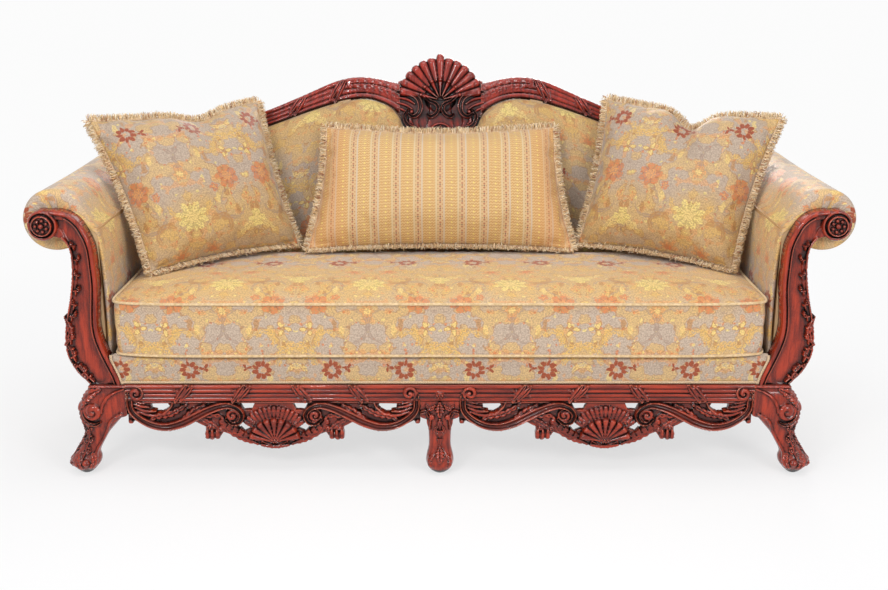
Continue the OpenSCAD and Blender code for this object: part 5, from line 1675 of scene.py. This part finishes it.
half_cuts = [
    ("round", [(0, -4, 5), (210, -4, 4), (420, -4, 4)], 6),
    ("round", [(22, 0, 4), (36, -4, 5), (52, -8, 2)], 9),
    ("round", [(22, -9, 4), (42, -16, 6), (66, -18, 2)], 9),
    ("round", [(24, -19, 4), (50, -30, 6), (80, -31, 3)], 9),
    ("round", [(28, -31, 4), (62, -43, 6), (98, -40, 5), (122, -22, 4), (131, -4, 3)], 9),
    ("leaf", [(60, -58, 5), (88, -46, 11), (120, -40, 12), (150, -24, 9), (172, -8, 4)], 11, 7),
    ("leaf", [(196, -58, 5), (222, -46, 9), (256, -44, 8), (276, -58, 3)], 8, 4),
    ("leaf", [(150, -60, 5), (172, -44, 12), (196, -26, 11), (222, -10, 5)], 12, 5),
    ("leaf", [(206, -52, 4), (226, -64, 10), (246, -78, 10), (262, -92, 4)], 8, 4),
    *(("round", [(a, -88, 5), (a, -100, 7.5), (a, -109, 7.5)], 12) for a in (224, 238, 252)),
    ("volute", (230, -80, 9), 10, 1.2), ("volute", (262, -84, 9), 10, -1.2),
    ("husk", [(268, -64, 11), (300, -86, 12), (338, -106, 11), (376, -122, 7)], 9, 7),
    ("leaf", [(262, -70, 5), (292, -96, 10), (330, -118, 10), (368, -132, 4)], 6, 7),
    ("scroll", scroll_line, 15),
    ("volute", (30, 25, 23), 18, 1.6), ("volute", (298, -42, 20), 15, -1.5),
    ("bead", (8, -62, 8), 9), ("bead", (236, -112, 7), 9),
    ("scroll", [(352, -62, 4), (366, -76, 6), (372, -98, 7), (384, -118, 7), (402, -128, 6)], 10),
    ("volute", (356, -66, 11), 11, 1.3)]
shell_cuts = [
    ("fan", (415, -126, 112, 34, 146), 10, 15), ("fan", (415, -124, 76, 8, 172), 22, 9),
    ("rosette", (415, -118, 13), 13, 6), ("round", [(378, -134, 6), (415, -139, 7), (452, -134, 6)], 9)]
outline = half_edge + [(415, -141)] + [(APRON_W - a, z) for a, z in half_edge[::-1]] + [(APRON_W, 0), (0, 0)]
apron_cuts = ([("board", outline)] + both_halves([("hole", hole) for hole in half_holes], APRON_W)
              + both_halves(half_cuts, APRON_W) + shell_cuts)


def apron_place(x, depth, z):
    return plot(BLOCK_IN - x, FRONT_Y + 0.006 + depth, RAIL_Z + z)


for side, mirror in MIRRORED:
    piece = relief("apron_" + side, (-2, APRON_W + 3, -146, 52), apron_cuts, apron_place, 0.018,
                   rail_wood, mirror)
    piece.data.flip_normals()

# %% [markdown]
# The front rail is reeded and bound at intervals with wraps of leaves, and a small boss marks the
# middle leg. The side rails have the same reeds. Rods on a box would show their seams, so the reeds
# are strokes of a relief.

# %% Rails
RAIL_MID, RAIL_HALF = (RAIL_Z + RAIL_TOP) * 500, 24.9


def tie_cuts(x, z, tall, lean):
    """Two leaves crossed over a rail at a slant, with a bead where they cross."""
    half = tall / 2 + 1
    cuts = []
    for off, size in ((-7, 1.0), (9, 0.85)):
        cuts.append(("leaf", [(x + off - lean * 17, z - half * size, 6), (x + off, z, 11),
                              (x + off + lean * 17, z + half * size, 5)], 12, 1))
    for way in (-1, 1):
        cuts.append(("leaf", [(x + way * 5, z, 4), (x - lean * 2 + way * 16, z - way * 5, 7),
                              (x + way * 27, z - way * 12, 2)], 8, 2))
    return cuts + [("bead", (x, z, 6), 12)]


def rail_cuts(x0, x1, wraps):
    low, high = RAIL_MID - RAIL_HALF, RAIL_MID + RAIL_HALF
    cuts = [("board", [(x0, low), (x1, low), (x1, high), (x0, high)])]
    for k in range(4):
        level = RAIL_MID - 18.7 + 12.5 * k
        cuts.append(("round", [(x, level, 6.1) for x in (x0 - 9, (x0 + x1) / 2, x1 + 9)], 5))
    for x, lean in wraps:
        cuts += tie_cuts(x, RAIL_MID, 46, lean)
    return cuts


def rail_box(x0, x1):
    return (x0, x1 + 2, RAIL_MID - 28, RAIL_MID + 28)


boss = [("bead", (0, RAIL_MID - 5, 14), 10), ("rosette", (0, RAIL_MID - 5, 12), 16, 6)]
ties = [(-722, 1), (-560, 1), (-390, -1), (-230, -1), (230, 1), (390, 1), (560, -1), (722, -1)]
reach = BLOCK_IN * 1000
relief("front_rail", rail_box(-reach, reach), rail_cuts(-reach, reach, ties) + boss,
       upright(FRONT_Y), RAIL_DEPTH, rail_wood)
side_low, side_high = box_of("side_rail_right")
SIDE_FACE = side_high[0] - 0.005


def side_place(y, depth, z):
    return plot(SIDE_FACE - depth, y, z)


low, high = side_low[1] * 1000, side_high[1] * 1000
side_cuts = rail_cuts(low, high, [(low + (high - low) * s, 1) for s in (0.18, 0.5, 0.82)])
for side, mirror in MIRRORED:
    relief("side_rail_" + side, rail_box(low, high), side_cuts, side_place,
           SIDE_FACE - BLOCK_OUT + RAIL_DEPTH, rail_wood, mirror)

# %% [markdown]
# A carved facing closes the front of each arm: one sawn board whose edges are the curves of the
# arm. A moulding follows the inner edge, a trail of leaves falls beside the outer one, and the top
# turns over in a volute with a rosette in its eye. The strokes are measured from the board's edges,
# so they stay parallel to them.

# %% Arm facings
VOLUTE = tuple(sum(box_of("arm_rosette_right"))[[0, 2]] * 500)


def beside(line, off, width, first=0.0, last=1.0):
    """Places in mm of a stroke that runs at a distance to the right of a line."""
    way = unit(np.gradient(line, axis=0))
    out = line + off * 0.001 * plot(way[:, 1], -way[:, 0])
    out = out[int(first * len(out)):int(last * len(out))][::3]
    return [(x * 1000, z * 1000, width) for x, z in out]


def ring_line(x, z, r, width, first=0, last=360):
    turns = np.radians(np.linspace(first, last, 25))
    return [(x + r * math.cos(t), z + r * math.sin(t), width) for t in turns]


def leaf_trail(path, size, height):
    """Leaves that spring from a path to its two sides by turns, each with a berry."""
    cuts = []
    for k, (a, b) in enumerate(zip(path[:-1], path[1:])):
        way = (np.array(b[:2]) - a[:2]) / math.dist(a[:2], b[:2])
        side = np.array([way[1], -way[0]]) * (1 if k % 2 else -1)
        foot, s = np.array(a[:2]), size * (0.8 + 0.5 * k / len(path))
        bend, tip = foot + side * s * 0.40 - way * s * 0.35, foot + side * s * 0.45 - way * s * 1.15
        cuts.append(("leaf", [(*foot, s * 0.25), (*bend, s * 0.42), (*tip, s * 0.12)], height, 3))
        cuts.append(("round", [(*foot, s * 0.26), (*(foot + way * s), s * 0.12)], height * 0.8))
        cuts.append(("bead", (*(foot - side * s * 0.30), s * 0.24), height))
    return cuts


def facing_cuts():
    turn = np.radians(np.arange(110, -131, -10))
    arc = plot(VOLUTE[0] + 42 * np.cos(turn), VOLUTE[1] + 42 * np.sin(turn))
    board = np.vstack([FACING_IN * 1000, arc, FACING_OUT[::-1] * 1000])
    level = np.arange(300, 640, 20)
    left = np.interp(level, FACING_IN[:, 1] * 1000, FACING_IN[:, 0] * 1000)
    right = np.interp(level, FACING_OUT[:, 1] * 1000, FACING_OUT[:, 0] * 1000)
    hollow = list(zip((left * 0.48 + right * 0.52), level, (right - left) / 2 - 14))
    hollow += [(984, 655, 24), (993, 690, 25), (1012, 720, 20), (1036, 733, 9)]
    falling = np.array(beside(FACING_OUT, -15, 0, 0.0, 0.93)[::-1])
    shares = np.linspace(0, len(falling) - 1, 14)
    trail = list(zip(*(np.interp(shares, np.arange(len(falling)), falling[:, k]) for k in (0, 1))))
    cuts = [
        ("board", board), ("round", hollow, -6),
        ("round", beside(FACING_IN, 7, 6.5), 8.5),
        ("round", beside(FACING_IN, 18, 3.2, 0.0, 0.95), 5),
        ("round", beside(FACING_OUT, -3.5, 3.5), 5), ("volute", (*VOLUTE, 42), 5, 1.0),
        ("round", ring_line(*VOLUTE, 36.5, 5, 20, 330), 9.5),
        ("leaf", [(1039, 466, 2.5), (1027, 440, 9), (1027, 408, 9), (1042, 386, 4)], 9, 4)]
    return cuts + leaf_trail(trail, 15, 9.5)


def eye_cuts():
    petals = ring_line(*VOLUTE, 15.5, 6, 0, 360 * 6 / 7)[::4]
    return [("plate", (*VOLUTE, 29), 2.5), ("round", ring_line(*VOLUTE, 26, 3), 8),
            ("bead", (*VOLUTE, 8.5), 12)] + [("bead", petal, 10) for petal in petals]


eye_box = (VOLUTE[0] - 31, VOLUTE[0] + 32, VOLUTE[1] - 31, VOLUTE[1] + 32)
for side, mirror in MIRRORED:
    relief("arm_facing_" + side, (888, 1124, 266, 771), facing_cuts(), upright(FACING_Y + 0.008), 0.037,
           post_wood, mirror, step=0.0017)
    relief("arm_rosette_" + side, eye_box, eye_cuts(), upright(FACING_Y), 0.008, post_wood, mirror,
           edge=0.002, step=0.0012)

# %% [markdown]
# Each top rail climbs from the arm to the crest. Four reeds run along it, two ties cross them, and
# an acanthus leaf grows towards the shell. A section could be swept along a curve, but a drawing
# laid on the slope of the back can hold leaves too.

# %% Top rails
def on_slope(lift=0.0):
    """Lays a drawing on the front of the sloping back, raised by some lift."""
    return lambda x, depth, z: on_back(x, depth - BACK_T - lift, z)


def rail_edges(x):
    """Heights of the top rail's edges, all in mm."""
    return [line_at(line, x / 1000) * 1000 for line in (LOW_LINE, TOP_LINE)]


def across_rail(share, width, first, last, places):
    """Places in mm along the top rail, with shares of its height as height and half width."""
    x = np.linspace(first, last, places)
    low, top = rail_edges(x)
    return list(zip(x, low + share * (top - low), width * (top - low)))


top_cuts = [("board", np.vstack([TOP_LINE, LOW_LINE[::-1]]) * 1000)]
for share in (0.13, 0.38, 0.62, 0.87):
    top_cuts.append(("round", across_rail(share, 0.118, 120, TOP_X1 * 1000 + 8, 22), 5.5))
top_cuts += [("leaf", across_rail(0.70, 0.27, 292, 128, 8), 10, 7),
             ("leaf", across_rail(0.52, 0.16, 262, 150, 6), 9, 6)]
for x in (334, 466):
    low, top = rail_edges(x)
    top_cuts += tie_cuts(x, (low + top) / 2, top - low, -1)
for side, mirror in MIRRORED:
    relief("top_rail_" + side, (CREST_X * 1000 - 1, TOP_X1 * 1000 + 2, 488, 788), top_cuts, on_slope(),
           BACK_T, crest_wood, mirror)

# %% [markdown]
# The crest is a ribbed shell over a hollowed cartouche. Seven short ribs end in pearls, and
# thirteen flutes spread from them to the scalloped edge. Scrolls frame the cartouche, and a round
# medallion of petals fills its foot. It is cut like the rails, on a finer grid, because the eye
# goes there first.

# %% Crest
DARK = "dark_carving"
line = CARTOUCHE_LINE * 1000
half = [
    ("round", [(50, 714, 9), (48, 690, 15), (52, 660, 18), (57, 634, 18), (52, 606, 10)], -15),
    ("round", [(140, 714, 5), (108, 708, 6), (84, 694, 4)], 9),
    ("round", [(140, 698, 5), (112, 689, 5), (93, 677, 4)], 8),
    ("round", [(140, 682, 5), (118, 672, 5), (106, 662, 4)], 8),
    ("scroll", [(140, 731, 6), (104, 728, 8), (76, 714, 9), (65, 688, 9), (71, 663, 8), (90, 652, 7),
                (104, 661, 5)], 16),
    ("bead", (94, 667, 8), 17),
    ("scroll", [(106, 675, 5), (117, 658, 6), (114, 637, 7), (101, 621, 8), (84, 616, 7),
                (74, 606, 5)], 14),
    ("round", [(98, 651, 6), (98, 636, 8), (90, 628, 4)], 9),
    ("scroll", [(104, 601, 5), (86, 592, 7), (68, 596, 6), (56, 608, 4)], 12),
    ("scroll", [(80, 574, 5), (62, 562, 7), (48, 548, 6), (24, 538, 6)], 10)]
cuts = [("board", np.vstack([line, [(138, 766), (112, 776)], [(-112, 776), (-138, 766)],
                             line[::-1] * (-1, 1)]))]
cuts += both_halves(half)
cuts += [("fan", (0, 706, 140, 6, 174), 18, 13), ("plate", (0, 716, 52), -8),
         ("bead", (0, 843, 13), 14)]
for turn in np.radians(14 + 152 * np.arange(7) / 6):
    c, s = math.cos(turn), math.sin(turn)
    cuts += [("round", [(r * c, 706 + r * s, 1 + 0.13 * r) for r in (12, 36, 58)], 15),
             ("bead", (65 * c, 706 + 65 * s, 8), 21)]
curl = [(58, 724, 4), (36, 704, 6), (15, 694, 7), (7, 678, 7), (15, 661, 7), (32, 652, 7), (43, 660, 4)]
cuts += both_halves([("scroll", curl, 16)]) + [("plate", (0, 592, 42), 11)]
relief("crest_shell", (-150, 152, 510, 866), cuts, on_slope(), BACK_T, crest_wood, slot=DARK,
       step=0.0016)

petals = [("plate", (0, 592, 40), 0.5), ("round", ring_line(0, 592, 36.5, 3.6), 8),
          ("bead", (0, 592, 5), 8)]
for turn in np.radians(np.arange(30, 390, 60)):
    c, s = math.cos(turn), math.sin(turn)
    for way in (-1, 1):
        bow = [(6 * c, 6 * s), (18 * c - way * 7 * s, 18 * s + way * 7 * c), (31 * c, 31 * s)]
        petals.append(("round", [(x, 592 + z, 2.4) for x, z in bow], 7))
relief("crest_medallion", (-42, 43, 549, 635), petals, on_slope(0.0115), 0.010, crest_wood,
       slot=DARK, edge=0.002, step=0.0013)

# %% [markdown]
# A cabriole leg is bandsawn from a square block, rounded, and carved on its knee and foot. A flat
# relief can't go round it, so it is a stack of rings. Each ring's ray, from its own centre, reaches
# the round section or the square block at the top, whichever is farther out, and then the height of
# the carving is added. The side repeats the front's carving, mirrored about the corner.

# %% Legs
# Each ring: shares of the height and of the foot's offset, half width and depth, squareness.
front_leg_rings = [
    (0.05, 1, 0.29, 0.36, 2), (0.11, 1, 0.41, 0.51, 2.2), (0.165, 0.95, 0.4, 0.5, 2.2),
    (0.24, 0.88, 0.32, 0.4, 2.2), (0.36, 0.66, 0.305, 0.38, 2.4), (0.45, 0.5, 0.325, 0.4, 2.6),
    (0.56, 0.37, 0.475, 0.5, 3), (0.64, 0.295, 0.585, 0.55, 3), (0.75, 0.25, 0.6, 0.55, 3.4),
    (0.87, 0.16, 0.555, 0.52, 4), (0.96, 0, 0.46, 0.46, 4)]
middle_leg_rings = [
    (0.06, 1, 0.28, 0.38, 2), (0.14, 1, 0.35, 0.48, 2.2), (0.22, 0.9, 0.35, 0.47, 2.2),
    (0.36, 0.6, 0.29, 0.4, 2.4), (0.5, 0.4, 0.29, 0.38, 2.6), (0.62, 0.3, 0.31, 0.4, 2.6),
    (0.75, 0.2, 0.38, 0.46, 3), (0.88, 0.1, 0.47, 0.48, 4), (0.97, 0, 0.47, 0.47, 4)]
rear_leg_rings = [
    (0.06, 1, 0.27, 0.6, 2), (0.25, 0.78, 0.24, 0.53, 2.4), (0.5, 0.42, 0.28, 0.5, 3),
    (0.62, 0.22, 0.38, 0.48, 3.4), (0.75, 0, 0.44, 0.46, 4)]
knee_cuts = [
    ("round", [(-60, 262, 4), (0, 262, 4), (70, 262, 4)], 4),
    ("leaf", [(76, 196, 6), (66, 222, 14), (46, 243, 16), (22, 254, 7)], 8, 6),
    ("round", [(-46, 256, 3), (-14, 243, 4), (4, 228, 5), (16, 206, 5), (18, 190, 4)], 7),
    ("scroll", [(78, 214, 5), (76, 182, 7), (62, 160, 7), (40, 153, 6), (24, 160, 4)], 9),
    ("volute", (43, 191, 25), 12, 1.3),
    ("round", [(-34, 180, 4), (-16, 172, 4), (-4, 162, 4), (4, 146, 4), (12, 126, 4),
               (22, 106, 4), (33, 88, 4), (44, 68, 5), (46, 50, 5)], 7),
    ("leaf", [(92, 64, 8), (96, 44, 13), (86, 22, 9)], 6, 4), ("bead", (71, 40, 11), 9),
    ("leaf", [(54, 62, 6), (50, 40, 10), (60, 20, 8)], 6, 4)]
knee_cuts += leaf_trail([(57, 150), (56, 134), (57, 117), (61, 100), (67, 84), (73, 68), (78, 56)], 15, 8)
middle_half = [
    ("scroll", [(54, 186, 5), (40, 190, 6), (30, 176, 6), (28, 156, 5), (28, 134, 4)], 8),
    ("bead", (23, 172, 10), 9), ("leaf", [(14, 206, 4), (26, 196, 8), (38, 206, 4)], 7, 3),
    ("leaf", [(6, 148, 3), (12, 132, 6), (6, 116, 3)], 6, 3),
    ("leaf", [(20, 58, 6), (30, 44, 9), (28, 24, 7)], 5, 3)]
middle_cuts = both_halves(middle_half) + [
    ("leaf", [(0, 214, 6), (0, 196, 17), (0, 178, 8)], 10, 4), ("bead", (0, 166, 4), 8),
    ("husk", [(0, 156, 8), (0, 110, 9), (0, 84, 6)], 7, 3),
    ("leaf", [(0, 82, 5), (0, 64, 15), (0, 46, 8)], 7, 4)]


def make_leg(node, rings, place, size, foot, cuts, mirror=False, around=220, levels=170,
             shoulder=(0.54, 0.66)):
    """A leg in a block of size (width, depth, height) about place, with its foot offset."""
    w, d, h = size
    first = rings[0]
    sole = (0.003 / h, 1, 0.62 * first[2], 0.62 * first[3], first[4])
    line = smooth_line([sole] + rings, 8)
    z = np.linspace(0.003, h, levels)
    out, hx, hy, e = [np.interp(z / h, line[:, 0], line[:, k])[None] for k in range(1, 5)]
    turn = np.arange(around)[:, None] * math.tau / around
    c, s = np.cos(turn) + 1e-9, np.sin(turn) + 1e-9
    round_part = (np.abs(c / (hx * w)) ** e + np.abs(s / (hy * d)) ** e) ** (-1 / e)
    cx, cy = foot[0] * out, foot[1] * out
    to_x = np.where(c > 0, w / 2 - cx, -w / 2 - cx) / c
    to_y = np.where(s > 0, d / 2 - cy, -d / 2 - cy) / s
    square = np.minimum(to_x, to_y) * smoothstep(*shoulder, z / h)[None]
    reach = np.maximum(round_part, square)
    x, y = cx + reach * c, cy + reach * s
    way_x, way_y = [np.roll(v, -1, axis=0) - np.roll(v, 1, axis=0) for v in (x, y)]
    norm = np.hypot(way_x, way_y)
    nx, ny = way_y / norm, -way_x / norm
    zz = np.repeat(z[None], around, axis=0)
    beyond = x.max(axis=0)[None] - (y - y.min(axis=0)[None])
    rise = np.zeros_like(x)
    for u, facing in ((x, -ny), (beyond, nx)):
        if cuts and (foot[0] > 0 or u is x):
            up = carve(u.ravel(), zz.ravel(), cuts)[1].reshape(x.shape)
            rise = np.maximum(rise, up * smoothstep(0.3, 0.75, facing))
    grid = plot(x + nx * rise + place[0], y + ny * rise + place[1], zz)
    number = grid_numbers(grid)
    faces = quads(looped(number))
    ends = [number[::-1, 0], number[:, -1]]
    if mirror:
        grid[..., 0] *= -1
        faces = faces[:, ::-1]
        ends = [end[::-1] for end in ends]
    faces = faces.tolist() + [end.tolist() for end in ends]
    name = node + ("_carved" if cuts else "_shaped")
    settle(make_piece(name, grid.reshape(-1, 3), faces, post_wood, 50), SHOW_WOOD, node)
    print(name, number.size, "points")


leg_x, leg_y = (BLOCK_IN + BLOCK_OUT) / 2, (FACING_Y + BLOCK_BACK) / 2
block_d, rear_d = BLOCK_BACK - FACING_Y, 0.045
rear_y = box_of("rear_leg_right")[0][1] + rear_d / 2
for side, mirror in MIRRORED:
    make_leg("front_leg_" + side, front_leg_rings, (leg_x, leg_y), (BLOCK_W, block_d, RAIL_TOP),
             (0.080, -0.0242), knee_cuts, mirror)
    make_leg("rear_leg_" + side, rear_leg_rings, (leg_x, rear_y), (BLOCK_W, rear_d, RAIL_TOP),
             (0, 0.085), [], mirror, 96, 60)
make_leg("centre_leg", middle_leg_rings, (0, leg_y), (0.110, block_d, RAIL_Z), (0, -0.0266),
         middle_cuts, shoulder=(0.62, 0.80))
